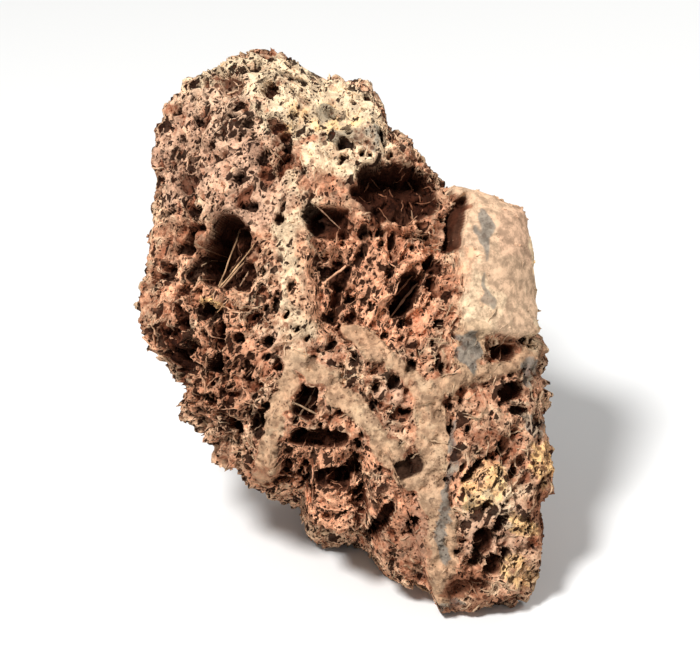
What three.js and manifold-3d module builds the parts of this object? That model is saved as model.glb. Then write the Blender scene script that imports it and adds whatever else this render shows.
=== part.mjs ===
// A maple leaf rock: a chunky, porous red-brown stone for an aquarium or a garden. Pale mineral
// bands cross its front face, and weathering has eaten pits and caves between them.
//
// The front face is laid out in its own frame, in millimetres: a to the right, b up along the
// leaning face, c out of it. The frame is then leaned back and stood on the floor, +Z up.
import * as THREE from "three";
import { mergeVertices } from "three/addons/utils/BufferGeometryUtils.js";
import Module from "manifold-3d";

// Driving dimensions, in millimetres and degrees
const LEAN = 30; // how far the front face leans back from upright
const FRONT_DEPTH = 27; // from the middle plane out to the front face
const BACK_DEPTH = 44; // from the middle plane to the back, at the top
const FOOT_DEPTH = 34; // how much deeper the back is at the foot
const FLOOR = -75.5; // height of the flat resting spot, below the face frame's origin
const SQUARENESS = 2.7; // 2 is an ellipsoid, and more is blockier
const CELLS = 28; // grid cells along each side of the cube that is rounded into the stone
const FINENESS = { face: 3, rim: 1.7, steps: 2000 }; // how many times smaller cells are than at the back
const MEAN_RADIUS = 76; // of the face's outline
const HALF_WIDTH = 67; // of the round stone that relief stands out of
const HALF_HEIGHT = 90;
const FRONT_FADE = 12; // how far behind the front face its own relief fades out
const HEEL = { reach: 36, drop: 17 }; // how the lower back spreads out to stand on the floor

// Outline of the front face, clockwise from the peak, as [a, b]
const OUTLINE = [
  [-30.3, 92], [-21.5, 88.5], [-8.8, 81.5], [5, 78.1], [9.9, 73.7], [11.6, 66], [20.9, 57.2],
  [30.3, 45.1], [44, 42.4], [52.3, 37.4], [55.6, 28.1], [56.1, 10.5], [58.3, -0.6], [61.6, -14.9],
  [64.9, -27.5], [65.5, -51.2], [61, -60], [61, -71.5], [55.6, -77.6], [51.7, -85.3], [44, -89.7],
  [27.5, -91.3], [24.5, -83.5], [15.4, -81.4], [9.9, -76.5], [3.9, -64.9], [-6.1, -64.4],
  [-15.4, -62.7], [-16.5, -52.3], [-30.3, -51.2], [-39.1, -43.5], [-40.2, -34.7], [-49.5, -33.6],
  [-56.7, -28.6], [-54.5, -19.3], [-60.5, -16], [-65.5, -8.3], [-68.2, 4.4], [-67.7, 17],
  [-68.2, 28], [-65.5, 48.4], [-63.3, 64.9], [-52.8, 81.5], [-41.8, 88],
];

// Flat breaks that cut the stone, each a plane by its outward direction and distance
const BREAKS = [
  { out: [-0.62, -0.62, 0.48], at: 52 }, // broken face under the left lobe
  { out: [0.86, 0.1, 0.5], at: 55 }, // bevel beside the pale slab
  { out: [-0.2, 0.86, 0.46], at: 87 }, // crusted slope below the peak
  { out: [0.55, 0.62, -0.56], at: 58 }, // right shoulder at the back
  { out: [-0.8, 0.22, -0.56], at: 62 }, // left flank at the back
  { out: [-0.1, 0.55, -0.83], at: 52 }, // upper back
  { out: [0.4, 0.0, -0.92], at: 50 }, // middle of the back
  { out: [-0.35, -0.2, -0.91], at: 56 }, // left of the back
  { out: [-0.62, -0.62, -0.48], at: 57 }, // under the left lobe at the back
  { out: [0.85, -0.2, -0.49], at: 60 }, // lower right flank
];
const BREAK_STRENGTH = 0.92; // how much of what stands past a break is pressed back to it

// Pits and caves in the front face: centre, half sizes, tilt in degrees, depth, and how far the
// floor ramps up to the lower rim, from 0, flat, to 1, a scoop
const PITS = [
  { at: [-41, 24.5], half: [7, 13.5], tilt: -18, deep: 19, ramp: 0 }, // tall cavity at the left
  { at: [-53.5, 28], half: [2.8, 4.8], tilt: -5, deep: 7, ramp: 0 },
  { at: [-34.5, 16], half: [3.4, 5.2], tilt: -12, deep: 8, ramp: 0 },
  { at: [-54, 47], half: [3.8, 4.2], tilt: -30, deep: 4, ramp: 0 },
  { at: [-38.5, 78], half: [4.2, 4.5], tilt: 0, deep: 5, ramp: 0.5 },
  { at: [-26.5, 76], half: [3, 3], tilt: 0, deep: 6, ramp: 0 },
  { at: [13.5, 44], half: [15, 10], tilt: -6, deep: 18, ramp: 0.6 }, // cave under the ledge
  { at: [-7.5, 34], half: [7.5, 6], tilt: 0, deep: 10, ramp: 0.6 },
  { at: [33, 33], half: [2.6, 10], tilt: -9, deep: 6, ramp: 0 },
  { at: [8, 14], half: [23.5, 21], tilt: 0, deep: 8, ramp: 0.3 }, // red basin
  { at: [-5, 17.5], half: [4, 5], tilt: -25, deep: 9, ramp: 0 },
  { at: [17.5, 12], half: [3.8, 8.8], tilt: -25, deep: 13, ramp: 0 },
  { at: [26.5, 20], half: [3.2, 3], tilt: 0, deep: 6, ramp: 0 },
  { at: [-15, -23], half: [4.2, 5.5], tilt: -5, deep: 10, ramp: 0 },
  { at: [-10.5, -34.5], half: [9.8, 3.6], tilt: 0, deep: 12, ramp: 0.3 }, // slot under the pale lip
  { at: [-6.5, -48], half: [5.8, 4.4], tilt: 0, deep: 9, ramp: 0.3 },
  { at: [-12, -50], half: [17, 14], tilt: 20, deep: 5, ramp: 0.2 }, // hollow of red lumps
  { at: [9, -61.5], half: [2.8, 8], tilt: -35, deep: 8, ramp: 0 },
  { at: [-59, -12.5], half: [8, 8], tilt: 0, deep: 6, ramp: -0.5 }, // undercut at the left
  { at: [47.5, -7], half: [4.4, 3], tilt: 10, deep: 8, ramp: 0 },
  { at: [50.5, -20], half: [4.8, 3.4], tilt: 25, deep: 9, ramp: 0 },
  { at: [42, -67.5], half: [3.8, 4.8], tilt: -15, deep: 8, ramp: 0 },
  { at: [45.5, -75.5], half: [3.2, 3.2], tilt: 0, deep: 6, ramp: 0 },
  { at: [37.5, -81.5], half: [9.5, 3], tilt: 8, deep: 4, ramp: 0.4 }, // notch above the foot
];
// A pit's wall, as shares of the way to its rim, and how far noise of a size moves the rim
const PIT_WALL = { from: 0.62, to: 1.08, uneven: 0.12, size: 7 };

// Bands of hard mineral that stand proud: points, half width and height
const BANDS = [
  { path: [[-21, 46], [-19, 22], [-15, 2], [-12, -9]], half: 5, high: 2.2 },
  { path: [[-18.5, -10.5], [-8, -16], [4, -26], [11, -36], [18, -48]], half: 3.4, high: 2.6 },
  { path: [[-1, 0], [8, -8], [20, -17.5]], half: 3.4, high: 2.2 },
  { path: [[24, -18.5], [24, -47], [27.5, -61.5], [28, -83.5]], half: 4.2, high: 2.6 },
  { path: [[26.5, -17.5], [37, -15.5], [57, -8]], half: 3.2, high: 2 },
  { path: [[-20, -14], [-24, -30], [-30, -48]], half: 3, high: 2.6 },
  { path: [[-15, 38.5], [0, 41], [3, 53], [12, 55], [26, 47]], half: 2.2, high: 2 },
  { path: [[-53, 9], [-31, 9]], half: 2.2, high: 2.2 },
  { path: [[36, -1], [36, -16]], half: 4, high: 1.4 },
];
const BAND_SIDE = { from: 0.7, to: 1.5 }; // where a band's sides start and end, in half widths

// The smooth pale slab at the right of the face: centre, half sizes, tilt and height
const SLAB = { at: [44, 21], half: [11.5, 23], tilt: 3, high: 4.5 };
const SLAB_EDGE = { from: 0.88, to: 1.12 }; // where its edges start and end, in half sizes

// Lumps all over: the size of the largest, its height, and the seed of the pattern
const LUMP = { size: 30, high: 3, octaves: 3, seed: 11 };
const LUMPS_ON_FACE = { front: 0.6, bands: 0.4 }; // the share of them that is left there

// Broken blocks all over, each a tilted facet at its own height: sizes, heights and seeds
const BLOCKS = [
  { size: 27, step: 3.4, tilt: 0.26, seed: 21 },
  { size: 13, step: 1.3, tilt: 0.2, seed: 22 },
];
const BLOCK_JOINT = 0.36; // how wide the joints between them are, in block sizes

// Weathered hollows on the flanks and the back
const HOLLOWS = { count: 46, least: 6, most: 13, deep: 7, seed: 5 };
const GOLDEN_TURN = 2.39996; // from one spot of a spiral to the next, in radians

const radians = THREE.MathUtils.degToRad;
const { smoothstep, clamp } = THREE.MathUtils;
const DOWN = new THREE.Vector3(0, -Math.cos(radians(LEAN)), -Math.sin(radians(LEAN)));

// Repeatable number from 0 to 1 for a point of an integer lattice
function lattice(i, j, k, seed) {
  let h = Math.imul(i, 374761393) + Math.imul(j, 668265263);
  h = h + Math.imul(k, 1440662683) + Math.imul(seed, 1013904223);
  h = Math.imul(h ^ (h >>> 13), 1274126177);
  return ((h ^ (h >>> 16)) >>> 0) / 4294967296;
}

// Smooth noise from -1 to 1: lattice numbers blended over each cell
function noise(x, y, z, seed) {
  const [i, j, k] = [Math.floor(x), Math.floor(y), Math.floor(z)];
  const fade = (t) => t * t * (3 - 2 * t);
  const [u, v, w] = [fade(x - i), fade(y - j), fade(z - k)];
  let sum = 0;
  for (const [di, dj, dk] of CORNERS) {
    const share = (di ? u : 1 - u) * (dj ? v : 1 - v) * (dk ? w : 1 - w);
    sum += share * lattice(i + di, j + dj, k + dk, seed);
  }
  return 2 * sum - 1;
}
const CORNERS = [0, 1, 2, 3, 4, 5, 6, 7].map((n) => [n & 1, (n >> 1) & 1, n >> 2]);

// The nearest of the scattered points that fill space, one to a cell, and how clearly it is nearest
function nearestCell(x, y, z, seed) {
  const [i, j, k] = [Math.floor(x), Math.floor(y), Math.floor(z)];
  let first = { distance: Infinity };
  let second = Infinity;
  for (const [di, dj, dk] of NEIGHBOURS) {
    const cell = [i + di, j + dj, k + dk];
    const offset = [x, y, z].map((t, n) => t - cell[n] - lattice(...cell, seed + 101 * (n + 1)));
    const distance = Math.hypot(...offset);
    if (distance < first.distance) {
      second = first.distance;
      first = { distance, offset, cell };
    } else if (distance < second) {
      second = distance;
    }
  }
  return { ...first, clear: second - first.distance };
}
const BESIDE = [-1, 0, 1];
const NEIGHBOURS = BESIDE.flatMap((k) => BESIDE.flatMap((j) => BESIDE.map((i) => [i, j, k])));

// Distance from the face's middle to the outline, at an angle
function outlineRadius(angle) {
  let next = RAYS.findIndex((ray) => ray.angle > angle);
  if (next < 1) next = next === 0 ? 0 : RAYS.length;
  const low = RAYS[next - 1] ?? { ...RAYS.at(-1), angle: RAYS.at(-1).angle - 2 * Math.PI };
  const high = RAYS[next] ?? { ...RAYS[0], angle: RAYS[0].angle + 2 * Math.PI };
  const share = (angle - low.angle) / (high.angle - low.angle);
  return low.radius + share * (high.radius - low.radius);
}
const RAYS = OUTLINE.map(([a, b]) => ({ angle: Math.atan2(b, a), radius: Math.hypot(a, b) })).sort(
  (p, q) => p.angle - q.angle,
);

// Point of the plain stone in a direction from its middle, before any relief
function plainStone(direction) {
  const { x, y, z } = direction;
  const sideways = Math.hypot(x, y);
  const radius = outlineRadius(Math.atan2(y, x)) * Math.pow(sideways, 2 / SQUARENESS);
  const a = sideways > 0 ? (radius * x) / sideways : 0;
  const b = sideways > 0 ? (radius * y) / sideways : 0;
  const foot = smoothstep(-b, -30, 70);
  const depth = z > 0 ? FRONT_DEPTH : BACK_DEPTH + FOOT_DEPTH * foot;
  const point = new THREE.Vector3(a, b, Math.sign(z) * depth * Math.pow(Math.abs(z), 2 / SQUARENESS));
  for (const { out, at } of BREAKS) {
    const normal = new THREE.Vector3(...out).normalize();
    const over = point.dot(normal) - at;
    if (over > 0) point.addScaledVector(normal, -over * BREAK_STRENGTH);
  }
  const height = -point.dot(DOWN) - FLOOR;
  const low = 1 - smoothstep(height, 0, HEEL.reach);
  return point.addScaledVector(DOWN, HEEL.drop * low * smoothstep(-point.z, 0, 30));
}

// Depth of the middle stone on the side that z points to
function middleDepth(z) {
  return z > 0 ? FRONT_DEPTH : BACK_DEPTH + FOOT_DEPTH / 2;
}

// Direction in which relief stands out of the plain stone at a point
function reliefDirection(point) {
  const half = new THREE.Vector3(HALF_WIDTH, HALF_HEIGHT, middleDepth(point.z));
  return point.clone().divide(half).divide(half).normalize();
}

// Share of the way from a tilted ellipse's centre, 0, to its rim, 1, and the height in it
function within({ at, half, tilt }, a, b) {
  const turn = radians(-tilt);
  const [p, q] = [a - at[0], b - at[1]];
  const across = (p * Math.cos(turn) - q * Math.sin(turn)) / half[0];
  const up = (p * Math.sin(turn) + q * Math.cos(turn)) / half[1];
  return { share: Math.hypot(across, up), across, up };
}

// Distance from a face point to a path of straight stretches
function distanceToPath(path, a, b) {
  let least = Infinity;
  for (let n = 1; n < path.length; n++) {
    const [[a0, b0], [a1, b1]] = [path[n - 1], path[n]];
    const [p, q] = [a1 - a0, b1 - b0];
    const t = clamp(((a - a0) * p + (b - b0) * q) / (p * p + q * q), 0, 1);
    least = Math.min(least, Math.hypot(a - a0 - t * p, b - b0 - t * q));
  }
  return least;
}

function pitDepth(a, b, wobble) {
  let deepest = 0;
  let total = 0;
  for (const pit of PITS) {
    const { share, up } = within(pit, a, b);
    const floor = 1 - smoothstep(share + PIT_WALL.uneven * wobble, PIT_WALL.from, PIT_WALL.to);
    const depth = pit.deep * floor * (1 - pit.ramp * (0.5 - 0.5 * clamp(up, -1, 1)));
    deepest = Math.max(deepest, depth);
    total += depth;
  }
  return 0.55 * deepest + 0.45 * total;
}

function bandHeight(a, b) {
  let height = 0;
  for (const { path, half, high } of BANDS) {
    const away = distanceToPath(path, a, b) / half;
    height = Math.max(height, high * (1 - smoothstep(away, BAND_SIDE.from, BAND_SIDE.to)));
  }
  const { across, up } = within(SLAB, a, b);
  const edge = Math.max(Math.abs(across), Math.abs(up));
  return Math.max(height, SLAB.high * (1 - smoothstep(edge, SLAB_EDGE.from, SLAB_EDGE.to)));
}

function hollowDepth(point, front) {
  let deepest = 0;
  for (const { middle, radius, deep } of HOLLOW_SPOTS) {
    const share = middle.distanceTo(point) / radius;
    deepest = Math.max(deepest, deep * (1 - smoothstep(share, 0.5, 1.05)));
  }
  return deepest * (1 - front);
}

// Middles of the hollows, spread over the stone on a spiral with some scatter
const HOLLOW_SPOTS = Array.from({ length: HOLLOWS.count }, (_, n) => {
  const random = (k) => lattice(n, k, 0, HOLLOWS.seed);
  const height = 1 - (2 * (n + random(0))) / HOLLOWS.count;
  const turn = n * GOLDEN_TURN + 0.8 * random(1);
  const flat = Math.sqrt(1 - height * height);
  const direction = new THREE.Vector3(flat * Math.cos(turn), flat * Math.sin(turn), height);
  const radius = HOLLOWS.least + (HOLLOWS.most - HOLLOWS.least) * random(2) ** 2;
  return { middle: plainStone(direction), radius, deep: HOLLOWS.deep * (0.4 + 0.6 * random(3)) };
});

// Height of the broken blocks: a step and a tilted plane to each, running together at the joints
function blockHeight({ x, y, z }) {
  let sum = 0;
  for (const { size, step, tilt, seed } of BLOCKS) {
    const { cell, offset, clear } = nearestCell(x / size, y / size, z / size, seed);
    const own = (n) => 2 * lattice(...cell, seed + n) - 1;
    const slope = tilt * size * (own(1) * offset[0] + own(2) * offset[1] + own(3) * offset[2]);
    sum += (step * own(0) + slope) * smoothstep(clear, 0, BLOCK_JOINT);
  }
  return sum;
}

function lumpHeight({ x, y, z }) {
  let sum = 0;
  for (let n = 0; n < LUMP.octaves; n++) {
    const scale = 2 ** n / LUMP.size;
    sum += (LUMP.high / 1.7 ** n) * noise(x * scale, y * scale, z * scale, LUMP.seed + n);
  }
  return sum;
}

// Point of the finished surface in a direction from the stone's middle
function surfacePoint(direction) {
  const plain = plainStone(direction);
  const front = smoothstep(plain.z, 0, FRONT_FADE);
  const wobble = noise(...plain.clone().divideScalar(PIT_WALL.size).toArray(), LUMP.seed + 9);
  const bands = bandHeight(plain.x, plain.y);
  const pits = pitDepth(plain.x, plain.y, wobble) * front;
  const rough = lumpHeight(plain) + blockHeight(plain);
  const onBands = (1 - LUMPS_ON_FACE.bands) * Math.min(1, (bands * front) / 2);
  const lumps = rough * (1 - onBands) * (1 - (1 - LUMPS_ON_FACE.front) * front);
  const height = lumps + bands * (0.5 + 0.5 * front) - pits - hollowDepth(plain, front);
  return plain.addScaledVector(reliefDirection(plain), height);
}

// Share of a round stone's area, weighted by how fine its cells are, up to each even step of the
// angle from the face's middle
function areaShares() {
  const sums = [0];
  let before;
  for (let n = 0; n <= FINENESS.steps; n++) {
    const angle = (n * Math.PI) / FINENESS.steps;
    const z = Math.cos(angle);
    const radius = MEAN_RADIUS * Math.pow(Math.sin(angle), 2 / SQUARENESS);
    const c = Math.sign(z) * middleDepth(z) * Math.pow(Math.abs(z), 2 / SQUARENESS);
    const rim = (FINENESS.rim - 1) * smoothstep(c, -45, -10);
    const weight = 1 + rim + (FINENESS.face - FINENESS.rim) * smoothstep(c, 5, 20);
    if (before) {
      const length = Math.hypot(radius - before.radius, c - before.c);
      sums.push(sums[n - 1] + length * (radius + before.radius) * (weight + before.weight));
    }
    before = { radius, c, weight };
  }
  return sums.map((sum) => sum / sums[FINENESS.steps]);
}

const AREA_SHARES = areaShares();

// Moves a direction to the angle where the weighted area equals the sphere's share, (1 - z) / 2
function evenDirection(direction) {
  const share = (1 - direction.z) / 2;
  const next = Math.max(1, AREA_SHARES.findIndex((value) => value >= share));
  const t = (share - AREA_SHARES[next - 1]) / (AREA_SHARES[next] - AREA_SHARES[next - 1]);
  const angle = ((next - 1 + clamp(t, 0, 1)) * Math.PI) / FINENESS.steps;
  const flat = Math.max(Math.hypot(direction.x, direction.y), 1e-9) / Math.sin(angle);
  return direction.set(direction.x / flat, direction.y / flat, Math.cos(angle));
}

// Splits each grid cell, made as triangles abd and bcd, along its shorter diagonal
function splitShortWay(geometry) {
  const { array } = geometry.index;
  const places = geometry.getAttribute("position");
  const corner = (n) => new THREE.Vector3().fromBufferAttribute(places, n);
  for (let n = 0; n < array.length; n += 6) {
    const [a, b, d, , c] = array.slice(n, n + 6);
    const other = corner(a).distanceTo(corner(c)) < corner(b).distanceTo(corner(d));
    if (other) array.set([a, b, c, a, c, d], n);
  }
}

// The whole surface: a gridded cube, rounded, shaped and leaned back
function stoneGeometry() {
  const box = new THREE.BoxGeometry(2, 2, 2, CELLS, CELLS, CELLS);
  box.deleteAttribute("normal");
  box.deleteAttribute("uv");
  const geometry = mergeVertices(box);
  const places = geometry.getAttribute("position");
  const point = new THREE.Vector3();
  for (let n = 0; n < places.count; n++) {
    point.fromBufferAttribute(places, n);
    const even = (t) => Math.tan((t * Math.PI) / 4);
    point.set(even(point.x), even(point.y), even(point.z)).normalize();
    places.setXYZ(n, ...surfacePoint(evenDirection(point)).toArray());
  }
  splitShortWay(geometry);
  // Out of the face frame: b leans back over +Y, and c comes forward and up
  return geometry.applyMatrix4(new THREE.Matrix4().makeRotationX(Math.PI / 2 - radians(LEAN)));
}

const wasm = await Module();
wasm.setup();

function solidFrom(geometry) {
  const vertProperties = new Float32Array(geometry.getAttribute("position").array);
  const triVerts = new Uint32Array(geometry.index.array);
  return new wasm.Manifold(new wasm.Mesh({ numProp: 3, vertProperties, triVerts }));
}

// Cuts the flat resting spot, and sets the stone on the floor with its box centred on the origin
function standOnFloor(solid) {
  const cut = solid.trimByPlane([0, 0, 1], FLOOR);
  const { min, max } = cut.boundingBox();
  return cut.translate([-(min[0] + max[0]) / 2, -(min[1] + max[1]) / 2, -min[2]]);
}

function geometryFrom(solid) {
  const { vertProperties, triVerts } = solid.getMesh();
  return new THREE.BufferGeometry()
    .setAttribute("position", new THREE.BufferAttribute(vertProperties, 3))
    .setIndex(new THREE.BufferAttribute(triVerts, 1));
}

const stone = new THREE.MeshStandardMaterial({ color: 0x9a6650, roughness: 0.95, metalness: 0 });
const rock = new THREE.Mesh(geometryFrom(standOnFloor(solidFrom(stoneGeometry()))), stone);
rock.name = "rock";

const part = new THREE.Group();
part.add(rock);
export default part;
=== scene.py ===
"""Maple leaf rock: a porous red-brown stone with pale mineral bands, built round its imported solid.

The stone's surface is worked out in the frame of its front face, in millimetres: a to the right,
b up along the leaning face and c out of it, as x, y and z of the arrays. It is then leaned back,
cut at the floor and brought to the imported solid's place, in metres.
"""
import math

import bpy
import numpy as np
from bpy.props import FloatProperty, FloatVectorProperty, IntProperty, PointerProperty
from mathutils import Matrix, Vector


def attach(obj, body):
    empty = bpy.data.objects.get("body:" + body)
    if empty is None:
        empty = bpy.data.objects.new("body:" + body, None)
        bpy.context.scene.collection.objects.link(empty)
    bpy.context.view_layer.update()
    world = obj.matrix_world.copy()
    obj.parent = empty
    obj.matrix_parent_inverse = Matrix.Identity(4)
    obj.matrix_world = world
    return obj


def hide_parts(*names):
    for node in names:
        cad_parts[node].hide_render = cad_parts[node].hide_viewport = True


bl_info = {
    "name": "Maple Leaf Rock",
    "version": (1, 0, 0),
    "blender": (4, 5, 0),
    "location": "3D View > Sidebar > Rock",
    "description": "Builds a porous banded stone with its mineral fins, floor, lights and camera",
    "category": "Add Mesh",
}

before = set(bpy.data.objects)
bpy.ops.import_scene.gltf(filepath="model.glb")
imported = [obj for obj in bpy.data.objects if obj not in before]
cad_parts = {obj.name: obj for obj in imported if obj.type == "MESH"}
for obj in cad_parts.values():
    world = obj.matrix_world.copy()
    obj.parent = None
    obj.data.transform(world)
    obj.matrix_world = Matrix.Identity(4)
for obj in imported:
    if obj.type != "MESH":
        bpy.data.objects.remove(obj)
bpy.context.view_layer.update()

# The stone's own form, in millimetres and degrees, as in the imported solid
LEAN = 30.0
FRONT_DEPTH = 27.0
BACK_DEPTH = 44.0
FOOT_DEPTH = 34.0
FLOOR = -75.5
SQUARENESS = 2.7
HEEL_REACH = 36.0
HEEL_DROP = 17.0
HEEL_BACK = 30.0  # how far behind the middle section the heel is whole
FOOT_SPAN = (-30, 70)  # how far below the middle the foot starts and is whole
FRONT_FADE = 12.0  # depth over which the front face begins
HALF_WIDTH = 67.0
HALF_HEIGHT = 90.0
METRES = 0.001
DOWN = np.array([0.0, -math.cos(math.radians(LEAN)), -math.sin(math.radians(LEAN))])

# Outline of the front face, clockwise from the peak
OUTLINE = np.array([
    (-30.3, 92), (-21.5, 88.5), (-8.8, 81.5), (5, 78.1), (9.9, 73.7), (11.6, 66), (20.9, 57.2),
    (30.3, 45.1), (44, 42.4), (52.3, 37.4), (55.6, 28.1), (56.1, 10.5), (58.3, -0.6),
    (61.6, -14.9), (64.9, -27.5), (65.5, -51.2), (61, -60), (61, -71.5), (55.6, -77.6),
    (51.7, -85.3), (44, -89.7), (27.5, -91.3), (24.5, -83.5), (15.4, -81.4), (9.9, -76.5),
    (3.9, -64.9), (-6.1, -64.4), (-15.4, -62.7), (-16.5, -52.3), (-30.3, -51.2), (-39.1, -43.5),
    (-40.2, -34.7), (-49.5, -33.6), (-56.7, -28.6), (-54.5, -19.3), (-60.5, -16), (-65.5, -8.3),
    (-68.2, 4.4), (-67.7, 17), (-68.2, 28), (-65.5, 48.4), (-63.3, 64.9), (-52.8, 81.5),
    (-41.8, 88),
])

# Flat breaks that cut the stone: outward direction and distance
BREAKS = [
    ((-0.62, -0.62, 0.48), 52), ((0.86, 0.1, 0.5), 55), ((-0.2, 0.86, 0.46), 87),
    ((0.55, 0.62, -0.56), 58), ((-0.8, 0.22, -0.56), 62), ((-0.1, 0.55, -0.83), 52),
    ((0.4, 0.0, -0.92), 50), ((-0.35, -0.2, -0.91), 56), ((-0.62, -0.62, -0.48), 57),
    ((0.85, -0.2, -0.49), 60),
]
BREAK_STRENGTH = 0.92

# Pits and caves of the solid: centre, half sizes, tilt, depth, and how far the floor ramps up
PITS = [
    ((-41, 24.5), (7, 13.5), -18, 19, 0), ((-53.5, 28), (2.8, 4.8), -5, 7, 0),
    ((-34.5, 16), (3.4, 5.2), -12, 8, 0), ((-54, 47), (3.8, 4.2), -30, 4, 0),
    ((-38.5, 78), (4.2, 4.5), 0, 5, 0.5), ((-26.5, 76), (3, 3), 0, 6, 0),
    ((13.5, 44), (15, 10), -6, 18, 0.6), ((-7.5, 34), (7.5, 6), 0, 10, 0.6),
    ((33, 33), (2.6, 10), -9, 6, 0),
    ((8, 14), (23.5, 21), 0, 8, 0.3), ((-5, 17.5), (4, 5), -25, 9, 0),
    ((17.5, 12), (3.8, 8.8), -25, 13, 0), ((26.5, 20), (3.2, 3), 0, 6, 0),
    ((-15, -23), (4.2, 5.5), -5, 10, 0), ((-10.5, -34.5), (9.8, 3.6), 0, 12, 0.3),
    ((-6.5, -48), (5.8, 4.4), 0, 9, 0.3), ((-12, -50), (17, 14), 20, 5, 0.2),
    ((9, -61.5), (2.8, 8), -35, 8, 0), ((-59, -12.5), (8, 8), 0, 6, -0.5),
    ((47.5, -7), (4.4, 3), 10, 8, 0), ((50.5, -20), (4.8, 3.4), 25, 9, 0),
    ((42, -67.5), (3.8, 4.8), -15, 8, 0), ((45.5, -75.5), (3.2, 3.2), 0, 6, 0),
    ((37.5, -81.5), (9.5, 3), 8, 4, 0.4),
]

NARROW = 13
NARROW_PITS = [pit for pit in PITS if min(pit[1]) < NARROW]

# Where a pit's wall starts and ends, as shares of the way to its rim, and how square the pit is
SOLID_PIT = ((0.62, 1.08), 2)
SHARP_PIT = ((0.80, 1.0), 2.7)
STEEP_DEPTH = 14  # past this depth, a squarer pit's wall is wider in proportion
PIT_ADDING = 0.45  # how far overlapping pits add up

# Noise on the rims of pits, and more of it on the finished stone: size, height and seed
PIT_WOBBLE = [(7, 0.12, 20)]
RAGGED_WOBBLE = [(3.6, 0.1, 76), (1.7, 0.06, 77)]

# Pits too small for the solid, in the same form
SMALL_PITS = [
    ((-58, 18), (2.2, 2.2), 0, 5, 0), ((-51, 16.5), (2, 3), 0, 5, 0),
    ((-32.5, 38.5), (3.8, 1.7), -15, 6, 0), ((-32.5, 83.5), (2, 1.7), 0, 4, 0),
    ((-50.5, 66), (1.9, 1.6), 0, 4, 0), ((-46.5, 65), (2.1, 1.8), 20, 5, 0),
    ((-38.5, 67), (1.9, 1.6), 0, 5, 0), ((-51, 60.5), (2.4, 1.3), 0, 4, 0),
    ((-32.5, 64), (2.6, 2), 0, 5, 0), ((-45, 58), (1.7, 1.4), 0, 4, 0),
    ((-64, 43), (2.1, 1.9), 0, 4, 0), ((-52, 37.5), (2.1, 2.1), 0, 5, 0),
    ((-20, 58), (1.4, 2), 0, 4, 0), ((-1, 58), (1.5, 1.4), 0, 4, 0), ((-3, 54), (1.5, 1.3), 0, 4, 0),
    ((-11, 19), (1.8, 1.5), 0, 4, 0), ((-2, 10), (2.2, 1.4), 0, 5, 0), ((6, 7.5), (1.5, 1.8), 0, 4, 0),
    ((-9, 3), (2.2, 1.7), 0, 4, 0), ((28, 2), (2, 2), 0, 5, 0), ((-47, 6), (3.2, 2), 0, 4, 0),
    ((-30, -30), (2.2, 6), -20, 6, 0), ((7, -24), (1.9, 2.3), 0, 5, 0), ((16.5, -27), (2.2, 1.5), 0, 4, 0),
    ((53, -25.5), (3.5, 1.6), 0, 5, 0), ((47, -36.5), (1.6, 3.2), -20, 5, 0),
    ((37.5, -44.5), (1.6, 5), -50, 5, 0), ((17.5, -43.5), (4.5, 3.5), 20, 4, 0),
    ((39.5, -73.5), (2.5, 2.5), 0, 5, 0), ((47, -61), (1.9, 3.6), -20, 6, 0),
    ((-25, 8), (2, 3), 0, 4, 0), ((-44, -10), (2.5, 4), -25, 5, 0), ((-36, -3), (2, 2), 0, 4, 0),
    ((-52, -6), (2.2, 3), -20, 5, 0), ((-33, -14), (1.8, 3.2), -30, 5, 0), ((-47, -22), (2.4, 2), 0, 5, 0),
]

# Bands of hard mineral that stand proud: points, half width and height. Veins are broken and porous,
# and plates are smoother
VEINS = [
    (((-21, 46), (-19, 22), (-15, 2), (-12, -9)), 5, 2.2),
    (((-15, 38.5), (0, 41), (3, 53), (12, 55), (26, 47)), 2.2, 2),
    (((-53, 9), (-31, 9)), 2.2, 2.2),
]
PLATES = [
    (((-18.5, -10.5), (-8, -16), (4, -26), (11, -36), (18, -48)), 3.4, 2.6),
    (((-1, 0), (8, -8), (20, -17.5)), 3.4, 2.2),
    (((24, -18.5), (24, -47), (27.5, -61.5), (28, -83.5)), 4.2, 2.6),
    (((26.5, -17.5), (37, -15.5), (57, -8)), 3.2, 2),
    (((-20, -14), (-24, -30), (-30, -48)), 3, 2.6),
    (((36, -1), (36, -16)), 4, 1.4),
]
BAND_SIDE = (0.7, 1.5)  # where a band's sides start and end, in half widths
PLATE_SIDE = (0.8, 1.25)  # the same for a plate on the finished stone
VEIN_RAGGED, PLATE_RAGGED = 0.65, 0.42  # how far noise breaks them up
BAND_BREAKS = [(4.5, 1, 71), (1.9, 0.6, 72)]  # size, height and seed of that noise
BAND_SWELLS = [(8, 1, 75)]  # and of the noise that makes their height uneven
BAND_LOSS = 0.7  # of that height, where they are ragged
BENDS = [(9, 1.3, 81), (3.4, 0.6, 85)]  # size, reach and seed of the noise that bends pits and bands
SLAB = ((44, 21), (11.5, 23), 3)
SLAB_HIGH = 4.5
SLAB_EDGE = (0.88, 1.12)  # where its edges start and end, in half sizes
SHARP_SLAB_EDGE = (0.94, 1.05)  # the same on the finished stone
SLAB_BREAKS = [(9, 1, 73), (3, 0.5, 74)]
SLAB_RAGGED = 0.1
BAND_CALMS, FACE_CALMS = 0.6, 0.4  # how far bands and the front face calm the lumps and blocks

# Small crisp holes: spacing, the widest's radius in spacings, depth and seed, and how many are there
PINHOLES = [(6.0, 0.36, 5.5, 91), (3.6, 0.36, 4, 95)]
PINHOLE_SHARE = 0.6
PINHOLE_EDGE = (0.7, 1)

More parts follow.
